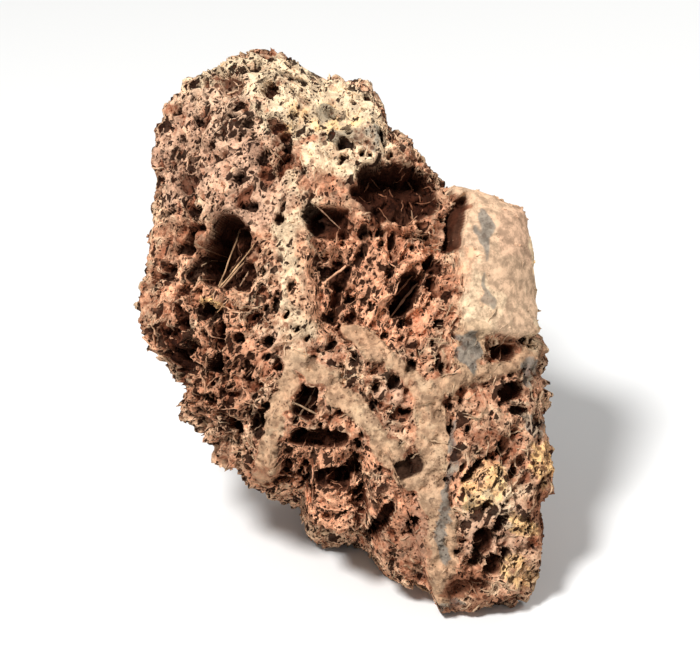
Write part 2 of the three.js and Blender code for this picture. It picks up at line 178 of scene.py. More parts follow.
# Large relief: noise octaves, broken blocks and hollows of the flanks and the back
LUMP_SIZE, LUMP_HIGH, LUMP_OCTAVES, LUMP_SEED = 30, 3, 3, 11
BLOCKS = [(27, 3.4, 0.26, 21, 0.36), (13, 1.3, 0.2, 22, 0.36)]  # size, step, tilt, seed and joint
CHIPS = (7, 1.0, 0.35, 25, 0.2)  # small facets, in the same form
HOLLOW_COUNT, HOLLOW_LEAST, HOLLOW_MOST, HOLLOW_DEEP, HOLLOW_SEED = 46, 6, 13, 7, 5
HOLLOW_SCATTER, HOLLOW_EDGE = 0.8, (0.5, 1.05)
GOLDEN_TURN = 2.39996

# Open cells between mineral walls: size, depth, share of the cell that is wall, and seed
CELL_NETS = [(7.0, 6.0, 0.11, 31), (4.3, 4.5, 0.16, 32), (2.7, 2.0, 0.24, 33)]
SPONGE = [  # where the cells are deepest: centre, half sizes, tilt and strength
    ((-44, 56), (24, 24), 0, 1.0), ((-45, -12), (26, 26), 0, 1.0), ((-12, -50), (22, 16), 20, 0.9),
    ((44, -68), (16, 14), 0, 0.6), ((6, 14), (24, 22), 0, 0.7), ((-28, 74), (26, 14), -10, 0.7),
    ((4, -20), (14, 9), -40, 0.7), ((-45, 12), (22, 12), 0, 0.8), ((52, -30), (12, 18), 0, 0.4),
]
BAND_CLOSES = (0.95, 0.8, 0.5)  # how far a hard band closes each net's cells
FINE_CLOSES = (0.9, 0.6, 0.1)  # how far the finely pitted stone closes them
FINE_GROUND = 0.45  # and how far it closes the cells that are too small for the mesh
LIT_STAINS = 0.55  # how much less painted shade darkens the cells where rust and ochre stain them
SPONGE_EDGE, STAIN_EDGE, SPOT_RAGGED = (0.7, 1.3), (0.7, 1.15), 0.3  # of the soft ellipses
WAVES = [(7, 3.2, 51), (2.3, 1.3, 54)]  # size, reach and seed of the noise that moves stains

# How much of each kind of relief the slab and the plates lose
SLAB_LOSES = {"pinholes": 1, "chips": 0.8, "cells": 0.93, "grain": 0.7}
PLATE_LOSES = {"pinholes": 0.8, "chips": 0, "cells": 0.55, "grain": 0.4}

# Heights and depths, in millimetres, at which each mask is full
BAND_FULL, PLATE_FULL, PIT_FULL, PINHOLE_FULL, CELL_FULL = 2, 1.8, 7, 3, 4
CELL_LINED = 2.2  # depth past which a cell counts as a hollow and takes painted shade
PLAIN_OPENNESS = 0.35  # of the cells elsewhere on the face
WARP = 0.28  # how wavy the walls are, in cell sizes
GRAIN_ANGLE, GRAIN_LENGTH = 62, 1.6  # the way that cells are longer, and how much
ALONG_GRAIN = np.array([math.cos(math.radians(GRAIN_ANGLE)), math.sin(math.radians(GRAIN_ANGLE)), 0])
GRAIN_SHRINK = np.eye(3) - (1 - 1 / GRAIN_LENGTH) * np.outer(ALONG_GRAIN, ALONG_GRAIN)
GRAIN = [(2.6, 0.55, 41), (1.3, 0.3, 42)]  # size, height and seed of the roughness

# Fins: points along each, share on each net of cells, how far a foot is sunk, and the widest gap bridged
FIN_RINGS = 8
FIN_SHARES = (0.3, 0.4, 0.3)
FIN_ROOT = 0.9
BARE_BASIN = ((8, 16), (22, 19), 0)  # where fewer fins stand
STRAIGHT_SHARE = 0.03  # of the fins that don't follow the walls
WALL_STEP = 0.2  # longest step towards a wall, in cell sizes
FIN_CROWDING = 0.55
FIN_SEED = 4
FIN_JITTER = 0.12
CRUMB_SEED = 8
BRIDGE_MOST = 4.0
BLADE_ENDS, BLADE_SWELL = (0.06, 0.94), 0.6  # share of a half wave, and its power
FIBRE_LEVEL, FIBRE_SAG = 0.92, 0.8
FINE_FACE, FINE_RIM = 3.0, 1.7  # how many times closer the grid lies there than on the back
MEAN_RADIUS = 76

FIBRE_THICKNESS = 1.35  # of the fibres across the caves, in fin widths

# Fibres across the caves, each from one rim to the other
FIBRES = [
    ((-50.7, 9), (-43.5, 36)), ((-50, 10), (-30, 26)), ((-46, 10), (-34.5, 29)), ((-39, 9), (-33, 27)),
    ((-52, 20), (-45, 9)), ((-44, 9), (-40, 17)), ((12, 4), (22, 15)), ((13, 10), (23, 20)),
    ((-9, 14), (0, 21)), ((19, 35), (27, 46)), ((22, 33), (26, 50)),
    ((-12, 38), (-3, 30)), ((-19, -22), (-9, -28)), ((-18, -29), (-12, -18)), ((48, -17), (55, -22)),
    ((40, -72), (47, -65)), ((-20, -30.5), (-10, -29.8)), ((-10, -29.8), (-1, -31)),
    ((-12, -46), (-2, -51)),
]

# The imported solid's own grid, which settles its place
SOLID_CELLS = 28

# Stage: the point of the face that the camera looks at, and the lights by place, size and power share
FACE_MIDDLE = (-1, -1, 12)
FLOOR_REACH, FLOOR_DROP = 4.0, 0.0003
LIGHTS = [
    ("key", (-0.45, -0.62, 1.15), 0.3, 1.0),
    ("rim", (0.9, 0.7, 0.8), 0.6, 0.25),
]

# Cells too small for the mesh: scale per metre, wall width, and the least and the most that are open
SMALL_CELLS = [(300.0, 0.09, 0.03, 0.34), (620.0, 0.11, 0.06, 0.38), (1150.0, 0.12, 0.08, 0.3)]

# How much of each stain's colour shows at its strongest
STAIN_STRENGTHS = {
    "slab": 0.85, "cream": 0.9, "mauve": 0.78, "rust": 0.74, "band": 0.35, "plate": 0.65, "ochre": 0.75,
    "umber": 0.8, "grey": 0.75,
}
STAIN_COLOURS = {"plate": "band"}  # where they aren't of the same name
SHINE = 0.05  # of both minerals

# Stained areas of the face, some of the umber ones painted shade in recesses: centre, half sizes, tilt and
# strength
STAINS = {
    "cream": [
        ((-25, 74), (38, 15), -6, 1.0), ((-17, 20), (8, 34), 0, 0.7), ((-2, 58), (16, 12), 0, 0.7),
        ((43, -53), (11, 8), -20, 1.0), ((57, 12), (4, 28), 0, 0.9), ((36, -87), (10, 3), 0, 0.35),
        ((39, 8), (7, 16), 3, 0.55), ((2, -22), (20, 6), -50, 0.3), ((24, -34), (3, 12), 0, 0.35),
        ((47, -57), (4, 3), 0, 1.0), ((40, -53), (7, 4), -20, 1.0),
    ],
    "grey": [
        ((41, 32), (1.7, 9), 8, 0.75), ((40.5, 14), (1.2, 7), -5, 0.65), ((36, -7), (2.6, 8), 12, 0.9),
        ((28.5, -58), (2.2, 17), 0, 0.85), ((30.5, -37), (1.2, 10), -10, 0.6), ((2, 60), (7, 3), 10, 0.6),
        ((56, -13), (4, 5), 0, 0.7), ((59, -31), (3, 4), 20, 0.7), ((-10, 68), (5, 3), -20, 0.6),
        ((30, -86), (5, 2), 0, 0.6),
    ],
    "ochre": [
        ((56, 14), (2.5, 14), 0, 0.6), ((41, -50), (9, 7), 20, 0.6), ((60, -42), (4, 8), 0, 0.6),
        ((53, -62), (3, 7), 30, 0.6), ((52, -77), (4, 6), 20, 0.6), ((-8, 66), (14, 6), -10, 0.4),
        ((-47, 6), (4, 3), 0, 0.7),
    ],
    # Umber mudstone on facets, and painted shade in the cave under the ledge, the slit beside the slab, pits
    # and the lower-left underside
    "umber": [
        ((60, -58), (5, 10), 0, 0.9), ((13, 46), (13, 8), 0, 0.8), ((37, -80), (9, 4), 0, 0.9),
        ((40, -87), (12, 3.5), 6, 0.6),
        ((17, -67), (6, 11), -20, 0.45), ((-59, -13), (6, 8), 0, 0.7), ((-44, -16), (20, 20), 0, 0.42),
        ((58, -6), (5, 20), 0, 0.4), ((20, -66), (6, 14), 0, 0.4), ((33, 34), (2, 9), -9, 0.8),
        ((-5, 33), (6, 5), 0, 0.5), ((-30, -47), (10, 5), 0, 0.5), ((56, -24), (5, 3), 0, 0.5),
    ],
    "rust": [
        ((8, 15), (27, 24), 0, 1.0), ((-12, -50), (22, 16), 20, 1.0), ((36, -48), (8, 6), 40, 0.8),
        ((12, -56), (8, 9), 0, 0.6),
        ((-46, 12), (16, 6), 0, 0.6), ((-46, -12), (22, 20), 0, 0.7), ((34, -75), (9, 7), 0, 0.8),
    ],
    "mauve": [
        ((-45, 58), (22, 22), 0, 1.0), ((-32, 40), (16, 10), 0, 0.8), ((13, -22), (6, 4), -40, 0.6),
        ((46, -62), (12, 12), 0, 0.6), ((-22, -8), (14, 9), 0, 0.5), ((50, 32), (6, 12), 0, 0.9),
        ((22, -55), (5, 20), 0, 0.5),
    ],
}


class RockSizes(bpy.types.PropertyGroup):
    """Sizes of the stone's surface and of its fins"""

    grid: IntProperty(
        name="Grid", description="Cells along each side of the rounded cube", default=129, min=8,
    )
    fin_count: IntProperty(name="Fins", description="Number of thin mineral fins", default=900, min=1)
    fin_width: FloatProperty(
        name="Fin Width", description="Thickness of a fin at its foot",
        default=0.0005, min=0, unit="LENGTH", precision=5,
    )
    fin_length: FloatProperty(
        name="Fin Length", description="Length of a middling fin", default=0.0046, min=0, unit="LENGTH",
    )
    crumb_count: IntProperty(name="Crumbs", description="Number of small grains", default=12000, min=1)
    crumb_size: FloatProperty(
        name="Crumb Size", description="Width of a middling grain",
        default=0.0010, min=0, unit="LENGTH", precision=5,
    )


def colour(name, default):
    """A colour property of the panel."""
    return FloatVectorProperty(
        name=name, description=f"Colour of the {name.lower()}", subtype="COLOR", size=3, min=0, max=1,
        default=default,
    )


class RockColours(bpy.types.PropertyGroup):
    """Colours of the stone's minerals and stains, and of the painted shade in its hollows and holes"""

    mudstone: colour("Red-Brown Mudstone", (0.57, 0.245, 0.135))
    # Dark mudstone, also used as painted shade that darkens the sunk cells and the fins in hollows
    dark_mudstone_and_shade: colour("Dark Mudstone And Painted Shade", (0.27, 0.085, 0.04))
    rust: colour("Rust Stain", (0.96, 0.46, 0.265))
    mauve: colour("Mauve Brown Mudstone", (0.72, 0.44, 0.295))
    # Umber mudstone, also painted shade where its stains lie in recesses
    umber: colour("Umber Mudstone And Painted Shade", (0.22, 0.075, 0.036))
    band: colour("Beige Mineral Band", (0.48, 0.32, 0.195))
    slab: colour("Pale Slab", (0.74, 0.51, 0.34))
    cream: colour("Cream Crust", (0.95, 0.73, 0.48))
    grey: colour("Blue-Grey Mineral", (0.155, 0.16, 0.145))
    ochre: colour("Yellow Ochre", (0.95, 0.60, 0.25))
    fin: colour("Pale Mineral Fin", (0.80, 0.54, 0.345))
    # Maroon lining of the pits, partly painted shade: it darkens the hollows and the pores
    lining_and_shade: colour("Maroon Pit Lining And Painted Shade", (0.075, 0.020, 0.009))
    shade: colour("Dark Of Small Holes", (0.022, 0.007, 0.004))


class StageSettings(bpy.types.PropertyGroup):
    """Camera, lights and floor"""

    elevation: FloatProperty(
        name="Elevation", description="How far the camera looks down",
        default=math.radians(LEAN), subtype="ANGLE",
    )
    distance: FloatProperty(
        name="Distance", description="From the camera to the stone", default=0.9, unit="LENGTH",
    )
    view_width: FloatProperty(
        name="View Width", description="Width of the picture where the stone is",
        default=0.222, unit="LENGTH",
    )
    key_power: FloatProperty(
        name="Key Power", description="Power of the soft light above", default=24.0, unit="POWER",
    )
    fill: FloatProperty(name="Fill", description="Strength of the even light all round", default=0.3, min=0)
    floor_colour: FloatVectorProperty(
        name="Floor", description="Colour of the pale floor", subtype="COLOR", size=3,
        default=(0.86, 0.86, 0.85),
    )


def smoothstep(low, high, t):
    """0 below low, 1 above high, and 3 t^2 - 2 t^3 of the way between."""
    t = np.clip((t - low) / (high - low), 0.0, 1.0)
    return t * t * (3 - 2 * t)


def lattice(i, j, k, seed):
    """Repeatable number from 0 to 1 for integer lattice points: odd multiples, added, folded and shifted."""
    whole = [np.asarray(t).astype(np.int64).astype(np.uint32) for t in (i, j, k)]
    odd = (np.uint32(374761393), np.uint32(668265263), np.uint32(1440662683))
    h = whole[0] * odd[0] + whole[1] * odd[1] + whole[2] * odd[2]
    h = h + np.uint32(seed * 1013904223 % 2**32)
    h = (h ^ (h >> np.uint32(13))) * np.uint32(1274126177)
    return (h ^ (h >> np.uint32(16))).astype(float) / 2**32


def noise(points, seed):
    """Smooth noise from -1 to 1: lattice numbers blended over each unit cell with smoothstep shares."""
    cell = np.floor(points)
    share = smoothstep(0, 1, points - cell)
    total = np.zeros(len(points))
    for corner in np.ndindex(2, 2, 2):
        weight = np.prod(np.where(corner, share, 1 - share), axis=1)
        total += weight * lattice(*(cell + corner).T, seed)
    return 2 * total - 1


def ripple(points, octaves):
    """Sum of noises, each of its own size, height and seed."""
    return sum(high * noise(points / size, seed) for size, high, seed in octaves)


def sway(points, size, seed):
    """Three noises of one size at each point, as a vector."""
    return np.stack([noise(points / size, seed + n) for n in range(3)], axis=1)


def nearest_cell(points, seed):
    """The nearest of the points scattered one to a unit cell.

    Returns the offset from it, its cell, the second distance less the first, which is 0 on a joint,
    and the way across the joint, which is that difference's gradient.
    """
    home = np.floor(points)
    first = np.full(len(points), np.inf)
    second = first.copy()
    offset = np.zeros_like(points)
    beside = np.zeros_like(points)
    cell = home.copy()
    for step in np.ndindex(3, 3, 3):
        there = home + np.array(step) - 1
        scatter = np.stack([lattice(*there.T, seed + 101 * (n + 1)) for n in range(3)], axis=1)
        away = points - there - scatter
        distance = np.linalg.norm(away, axis=1)
        nearer = distance < first
        between = ~nearer & (distance < second)
        second = np.where(nearer, first, np.where(between, distance, second))
        beside[nearer] = offset[nearer]
        beside[between] = away[between]
        first = np.where(nearer, distance, first)
        offset[nearer] = away[nearer]
        cell[nearer] = there[nearer]
    across = beside / second[:, None] - offset / first[:, None]
    return offset, cell, second - first, across


def outline_radius(angle):
    """Distance from the face's middle to its outline: straight between the outline's points, by angle."""
    angles = np.arctan2(OUTLINE[:, 1], OUTLINE[:, 0])
    order = np.argsort(angles)
    return np.interp(angle, angles[order], np.linalg.norm(OUTLINE, axis=1)[order], period=2 * math.pi)


def half_depth(b, z):
    """Depth of the plain stone before or behind its middle section. The foot is deeper behind."""
    return np.where(z > 0, FRONT_DEPTH, BACK_DEPTH + FOOT_DEPTH * smoothstep(*FOOT_SPAN, -b))


def even_depth(z):
    """The same with the foot's depth spread over the whole back."""
    return np.where(z > 0, FRONT_DEPTH, BACK_DEPTH + FOOT_DEPTH / 2)


def on_front(points):
    """How far points are on the front face, from 0 to 1."""
    return smoothstep(0, FRONT_FADE, points[:, 2])


def plain_stone(direction):
    """Point of the plain stone in each unit direction.

    A superellipsoid whose middle section is the outline: radius times sideways^(2/n), depth times
    |z|^(2/n). It is then pressed back to each flat break, and its low back is pulled down to the floor.
    """
    sideways = np.hypot(direction[:, 0], direction[:, 1])
    angle = np.arctan2(direction[:, 1], direction[:, 0])
    radius = outline_radius(angle) * sideways ** (2 / SQUARENESS)
    a, b = radius * np.cos(angle), radius * np.sin(angle)
    z = direction[:, 2]
    c = np.sign(z) * half_depth(b, z) * np.abs(z) ** (2 / SQUARENESS)
    points = np.stack([a, b, c], axis=1)
    for out, at in BREAKS:
        normal = np.array(out) / np.linalg.norm(out)
        over = np.maximum(points @ normal - at, 0)
        points = points - np.outer(over * BREAK_STRENGTH, normal)
    height = -points @ DOWN - FLOOR
    sink = HEEL_DROP * (1 - smoothstep(0, HEEL_REACH, height)) * smoothstep(0, HEEL_BACK, -points[:, 2])
    return points + np.outer(sink, DOWN)


def relief_direction(points):
    """The way relief stands out: the outward direction of the ellipsoid x^2/A^2 + y^2/B^2 + z^2/C^2."""
    sides = np.broadcast_to([HALF_WIDTH, HALF_HEIGHT], (len(points), 2))
    return unit(points / np.column_stack([sides, even_depth(points[:, 2])]) ** 2)


def within(spot, points):
    """Where face points lie in a tilted ellipse.

    Returns the share of the way to its rim, and how far across and up, in half sizes.
    """
    (a, b), (half_a, half_b), tilt = spot[:3]
    turn = math.radians(-tilt)
    p, q = points[:, 0] - a, points[:, 1] - b
    across = (p * math.cos(turn) - q * math.sin(turn)) / half_a
    up = (p * math.sin(turn) + q * math.cos(turn)) / half_b
    return np.hypot(across, up), across, up


def distance_to_path(path, points):
    """Least distance from face points to a path of straight stretches."""
    least = np.full(len(points), np.inf)
    for start, end in zip(np.array(path[:-1], float), np.array(path[1:], float)):
        along = end - start
        from_start = points[:, :2] - start
        t = np.clip(from_start @ along / (along @ along), 0, 1)
        least = np.minimum(least, np.linalg.norm(from_start - np.outer(t, along), axis=1))
    return least


def pit_depth(pits, points, wobble, lip, power=2):
    """Depth of the pits: a flat or ramped floor with steep walls, overlapping pits partly adding up.

    The lip says where the wall starts and ends, as shares of the way to the rim, which is
    (|across|^n + |up|^n)^(1/n): an ellipse at n = 2, and squarer above. A squarer pit's wall is
    wider in proportion to the pit's depth past the steep depth.
    """
    deepest = np.zeros(len(points))
    total = deepest.copy()
    for pit in pits:
        _, across, up = within(pit, points)
        share = (np.abs(across) ** power + np.abs(up) ** power) ** (1 / power)
        deep, ramp = pit[3:]
        wide = (lip[1] - lip[0]) * (max(1, deep / STEEP_DEPTH) if power > 2 else 1)
        floor = 1 - smoothstep(lip[1] - wide, lip[1], share + wobble)
        depth = deep * floor * (1 - ramp * (0.5 - 0.5 * np.clip(up, -1, 1)))
        deepest = np.maximum(deepest, depth)
        total += depth
    return (1 - PIT_ADDING) * deepest + PIT_ADDING * total


def band_height(bands, points, ragged=0, side_span=BAND_SIDE):
    """Height of the bands, level on top and smooth down the sides, which noise may break up.

    The side span says where the sides start and end, in half widths.
    """
    broken = ragged * ripple(points, BAND_BREAKS)
    uneven = 1 - BAND_LOSS * ragged + ragged * ripple(points, BAND_SWELLS)
    height = np.zeros(len(points))
    for path, half, high in bands:
        side = smoothstep(*side_span, distance_to_path(path, points) / half + broken)
        height = np.maximum(height, high * (1 - side) * uneven)
    return height


def slab_height(points, ragged=0, span=SLAB_EDGE):
    """Height of the slab: a tilted rectangle with a level top, whose edges noise may break up."""
    _, across, up = within(SLAB, points)
    edge = np.maximum(np.abs(across), np.abs(up)) + ragged * ripple(points, SLAB_BREAKS)
    return SLAB_HIGH * (1 - smoothstep(*span, edge))


def hollow_depth(points, front):
    """Depth of the round hollows, spread over the flanks and the back on a scattered spiral."""
    count = np.arange(HOLLOW_COUNT)
    random = [lattice(count, np.full(HOLLOW_COUNT, n), 0 * count, HOLLOW_SEED) for n in range(4)]
    height = 1 - 2 * (count + random[0]) / HOLLOW_COUNT
    turn = count * GOLDEN_TURN + HOLLOW_SCATTER * random[1]
    flat = np.sqrt(1 - height**2)
    middles = plain_stone(np.stack([flat * np.cos(turn), flat * np.sin(turn), height], axis=1))
    radii = HOLLOW_LEAST + (HOLLOW_MOST - HOLLOW_LEAST) * random[2] ** 2
    deepest = np.zeros(len(points))
    for middle, radius, deep in zip(middles, radii, HOLLOW_DEEP * (0.4 + 0.6 * random[3])):
        share = np.linalg.norm(points - middle, axis=1) / radius
        deepest = np.maximum(deepest, deep * (1 - smoothstep(*HOLLOW_EDGE, share)))
    return deepest * (1 - front)


def block_height(points, size, step, tilt, seed, joint):
    """Height of broken blocks: a step and a tilted plane to each, running together at the joints."""
    offset, cell, clear, _ = nearest_cell(points / size, seed)
    own = [2 * lattice(*cell.T, seed + n) - 1 for n in range(4)]
    slope = tilt * size * (own[1] * offset[:, 0] + own[2] * offset[:, 1] + own[3] * offset[:, 2])
    return (step * own[0] + slope) * smoothstep(0, joint, clear)


def pinhole_depth(points):
    """Depth of small crisp holes: some cells of space have a round one, each of its own width."""
    deepest = np.zeros(len(points))
    for spacing, widest, deep, seed in PINHOLES:
        offset, cell, _, _ = nearest_cell(points @ GRAIN_SHRINK / spacing, seed)
        own = lattice(*cell.T, seed + 4) / PINHOLE_SHARE
        share = np.linalg.norm(offset, axis=1) / (widest * (0.4 + 0.6 * own))
        deepest = np.maximum(deepest, deep * (1 - smoothstep(*PINHOLE_EDGE, share)) * (own < 1))
    return deepest


def lump_height(points):
    """Height of the lumps: a sum of noise octaves, each half the size and 1/1.7 of the height."""
    total = np.zeros(len(points))
    for n in range(LUMP_OCTAVES):
        total += LUMP_HIGH / 1.7**n * noise(points * (2**n / LUMP_SIZE), LUMP_SEED + n)
    return total


def wavy(points):
    """Points moved about by noise of two sizes, so that what is laid out on them has ragged edges."""
    moved = points
    for size, reach, seed in WAVES:
        moved = moved + reach * sway(points, size, seed)
    return moved


def bent(points):
    """Points moved about more gently, for pits and bands with natural edges."""
    for size, reach, seed in BENDS:
        points = points + reach * sway(points, size, seed)
    return points


def soft_spots(spots, points, ragged, edge, least=0.0):
    """The strongest of some soft tilted ellipses at each point, with uneven edges."""
    most = np.full(len(points), least)
    for spot in spots:
        share, _, _ = within(spot, points)
        most = np.maximum(most, spot[3] * (1 - smoothstep(*edge, share + ragged)))
    return most


def stain(name, points):
    """Strength of a stain at wavy points."""
    return soft_spots(STAINS[name], points, SPOT_RAGGED * noise(points / 5, 57), STAIN_EDGE)


def large_relief(points, ragged=0):
    """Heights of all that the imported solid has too, and the parts that colour needs."""
    front = on_front(points)
    wobble = ripple(points, PIT_WOBBLE + (RAGGED_WOBBLE if ragged else []))
    around = bent(points) if ragged else points
    slab = slab_height(points, SLAB_RAGGED * ragged, SHARP_SLAB_EDGE if ragged else SLAB_EDGE)
    veins = band_height(VEINS, around, VEIN_RAGGED * ragged)
    plates = band_height(PLATES, around, PLATE_RAGGED * ragged, PLATE_SIDE if ragged else BAND_SIDE)
    bands = np.maximum(np.maximum(veins, plates), slab)
    rough = lump_height(points) + sum(block_height(points, *block) for block in BLOCKS)
    lumps = rough * (1 - BAND_CALMS * np.minimum(1, bands * front / BAND_FULL)) * (1 - FACE_CALMS * front)
    shape = SHARP_PIT if ragged else SOLID_PIT
    pits = pit_depth(PITS, around, wobble, *shape) * front
    hollows = hollow_depth(points, front)
    proud = lumps + bands * (0.5 + 0.5 * front)
    return {
        "front": front, "bands": bands, "slab": slab, "plates": plates, "proud": proud,
        "deep": pits + hollows, "wobble": wobble, "around": around,
    }


def cell_net(points, size, deep, wall, seed):
    """Open cells between mineral walls: each cell sinks by its own random depth, and its walls stand.

    The cells are made in a wavy space that is shrunk along the grain, so they come out longer there.
    Returns the depth, how far each point is on a wall, 0 to 1, how clear of it in cell sizes, and
    that distance's gradient per millimetre.
    """
    stretched = (points + WARP * size * sway(points, size * 1.1, seed + 7)) @ GRAIN_SHRINK
    _, cell, clear, across = nearest_cell(stretched / size, seed)
    own = smoothstep(0.25, 1, lattice(*cell.T, seed + 4))
    standing = 1 - smoothstep(wall * 0.6, wall * 1.4, clear)
    return deep * own * (1 - standing), standing, clear, across @ GRAIN_SHRINK / size


def openness_of(points, front):
    """How deep the cells are at each point: most in the spongy spots."""
    face = soft_spots(SPONGE, points, SPOT_RAGGED * noise(points / 7, 62), SPONGE_EDGE, PLAIN_OPENNESS)
    elsewhere = 0.7 + 0.45 * noise(points / 22, 61)
    return face * front + elsewhere * (1 - front)


def rock_surface(direction):
    """The finished surface in each unit direction, with the numbers that its colours are mixed from.

    Returns the points, the way relief stands out there, and the masks.
    """
    plain = plain_stone(direction)
    out = relief_direction(plain)
    large = large_relief(plain, ragged=1)
    front, around, wobble = large["front"], large["around"], large["wobble"]
    hard = np.clip(large["bands"] / BAND_FULL, 0, 1) * (0.25 + 0.75 * front)
    plate = smoothstep(0.2, 0.8, large["plates"] / PLATE_FULL) * front
    slab = large["slab"] / SLAB_HIGH * front
    openness = openness_of(plain, front)
    spread = wavy(plain)
    stains = {name: stain(name, spread) for name in STAINS}

    def kept(kind):
        """Share of one kind of relief that the slab and the plates keep."""
        return (1 - SLAB_LOSES[kind] * slab) * (1 - PLATE_LOSES[kind] * plate)

    narrow = pit_depth(NARROW_PITS, around, wobble, *SHARP_PIT) * front
    sunk = pit_depth(SMALL_PITS, around, wobble, *SHARP_PIT) * front
    fewer = np.maximum(0.5 * stains["rust"], 0.6 * stains["ochre"]) * front
    sunk = np.maximum(sunk, pinhole_depth(around) * kept("pinholes") * (1 - fewer))
    chips = block_height(plain, *CHIPS) * (1 - 0.5 * hard) * kept("chips")
    finer = np.maximum(stains["mauve"], 0.6 * stains["cream"]) * front
    walls = np.zeros(len(plain))
    opened = np.zeros(len(plain))
    for net, closed, shrunk in zip(CELL_NETS, BAND_CLOSES, FINE_CLOSES):
        depth, standing, _, _ = cell_net(plain, *net)
        share = openness * (1 - closed * hard) * kept("cells") * (1 - shrunk * finer)
        opened += depth * share
        walls = np.maximum(walls, standing * np.minimum(share * 1.5, 1))
    grain = ripple(plain, GRAIN) * kept("grain")
    height = large["proud"] + chips - large["deep"] - sunk - opened + grain
    masks = {name: strength * (0.3 + 0.7 * front) for name, strength in stains.items()}
    small = openness * (1 - 0.6 * hard * (1 - 0.8 * masks["cream"])) * (1 - 0.6 * plate)
    # The hollow, pinhole and sunk masks say where the material paints shade, darker with depth
    deep = narrow + 1.5 * np.maximum(opened - CELL_LINED, 0) + 0.6 * large["deep"] * (1 - front)
    lit = np.maximum(masks["rust"], masks["ochre"])
    masks |= {
        "band": hard, "slab": slab, "plate": plate, "wall": walls,
        "open": small * (1 - FINE_GROUND * finer),
        "hollow": np.clip(deep / PIT_FULL, 0, 1),
        "pinhole": np.clip(sunk / PINHOLE_FULL, 0, 1),
        "sunk": np.clip(opened / CELL_FULL, 0, 1) * (1 - LIT_STAINS * lit),
    }
    return plain + out * height[:, None], out, masks


def lean(vectors):
    """Turns vectors from the face frame to the leaned-back stone, about x by 90 degrees less the lean."""
    turn = math.radians(90 - LEAN)
    x, b, c = np.moveaxis(np.asarray(vectors, float), -1, 0)
    cosine, sine = math.cos(turn), math.sin(turn)
    return np.stack([x, b * cosine - c * sine, b * sine + c * cosine], axis=-1)


def lean_and_stand(points):
    """Leans the face frame back, flattens what is below the floor, and turns millimetres to metres."""
    points = lean(points) - (0, 0, FLOOR)
    points[:, 2] = np.maximum(points[:, 2], 0)
    return points * METRES


def rounded_cube(cells):
    """Unit directions over a gridded cube, welded at its edges, with the quads that join them.

    The grid's steps are tangents of even angles.
    """
    steps = np.arange(cells + 1)
    u, v = (t.ravel() for t in np.meshgrid(steps, steps, indexing="ij"))
    corner = (steps[:-1, None] * (cells + 1) + steps[None, :-1]).ravel()
    quad = np.stack([corner, corner + cells + 1, corner + cells + 2, corner + 1], axis=1)
    places, quads = [], []
    for axis in range(3):
        for side in (0, cells):
            place = np.zeros((len(u), 3), int)
            place[:, axis] = side
            place[:, (axis + 1) % 3] = u
            place[:, (axis + 2) % 3] = v
            quads.append((quad if side else quad[:, ::-1]) + len(places) * len(u))
            places.append(place)
    unique, index = np.unique(np.concatenate(places), axis=0, return_inverse=True)
    directions = np.tan((2 * unique / cells - 1) * math.pi / 4)
    return unit(directions), index.ravel()[np.concatenate(quads)]


def evened(directions):
    """Directions whose angle from +z is moved so that grid cells share out the stone's area.

    On a round stone of the mean radius, the weighted area up to an angle is set equal to the share
    of the sphere, (1 - z) / 2. The face weighs most, then the rim.
    """
    polar = np.linspace(0, math.pi, 4001)
    z = np.cos(polar)
    radius = MEAN_RADIUS * np.sin(polar) ** (2 / SQUARENESS)
    c = np.sign(z) * even_depth(z) * np.abs(z) ** (2 / SQUARENESS)
    weight = 1 + (FINE_RIM - 1) * smoothstep(-45, -10, c) + (FINE_FACE - FINE_RIM) * smoothstep(5, 20, c)
    step = np.hypot(np.diff(radius), np.diff(c)) * (radius[1:] + radius[:-1]) * (weight[1:] + weight[:-1])
    share = np.concatenate([[0], np.cumsum(step)])
    angle = np.interp((1 - directions[:, 2]) / 2, share / share[-1], polar)
    return np.column_stack([unit(directions[:, :2]) * np.sin(angle)[:, None], np.cos(angle)])


def solid_shift():
    """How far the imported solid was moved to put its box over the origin: less its points' middle."""
    directions, _ = rounded_cube(SOLID_CELLS)
    plain = plain_stone(evened(directions))
    large = large_relief(plain)
    points = plain + relief_direction(plain) * (large["proud"] - large["deep"])[:, None]
    placed = lean_and_stand(points)
    placed = placed[placed[:, 2] > 0]
    middle = (placed.min(axis=0) + placed.max(axis=0)) / 2
    return np.array([-middle[0], -middle[1], 0])


def direction_to(points):
    """Unit directions whose plain stone lies at these points: the superellipsoid's powers undone."""
    a, b, c = points.T
    angle = np.arctan2(b, a)
    flat = (np.hypot(a, b) / outline_radius(angle)) ** (SQUARENESS / 2)
    z = np.sign(c) * (np.abs(c) / half_depth(b, c)) ** (SQUARENESS / 2)
    return unit(np.stack([flat * np.cos(angle), flat * np.sin(angle), z], axis=1))


def unit(vectors):
    """Vectors scaled to length 1 along the last axis."""
    return vectors / np.maximum(np.linalg.norm(vectors, axis=-1, keepdims=True), 1e-9)


def onto_walls(points, net):
    """Moves points onto the nearest walls of a net: two short Newton steps, p - f g / |g|^2."""
    size = net[0]
    for _ in range(2):
        _, _, clear, gradient = cell_net(points, *net)
        step = gradient * (clear / np.maximum((gradient**2).sum(axis=1), 1e-6))[:, None]
        long = np.maximum(np.linalg.norm(step, axis=1) / (WALL_STEP * size), 1)
        points = points - step / long[:, None]
    return points


def fins_thinned(points):
    """Share of fins left out: nearly all on the slab, most on the bands and many in the basin."""
    share, _, _ = within(BARE_BASIN, points)
    bare = 0.45 + 0.35 * noise(points / 20, 63)
    basin = np.maximum(0.6 * (1 - smoothstep(0.7, 1.1, share)), bare)
    bands = 0.8 * np.clip(band_height(PLATES, points, PLATE_RAGGED) / BAND_FULL, 0, 1)
    slab = 0.97 * slab_height(points, 0.12) / SLAB_HIGH
    return np.maximum(np.maximum(basin, bands), slab) * on_front(points)


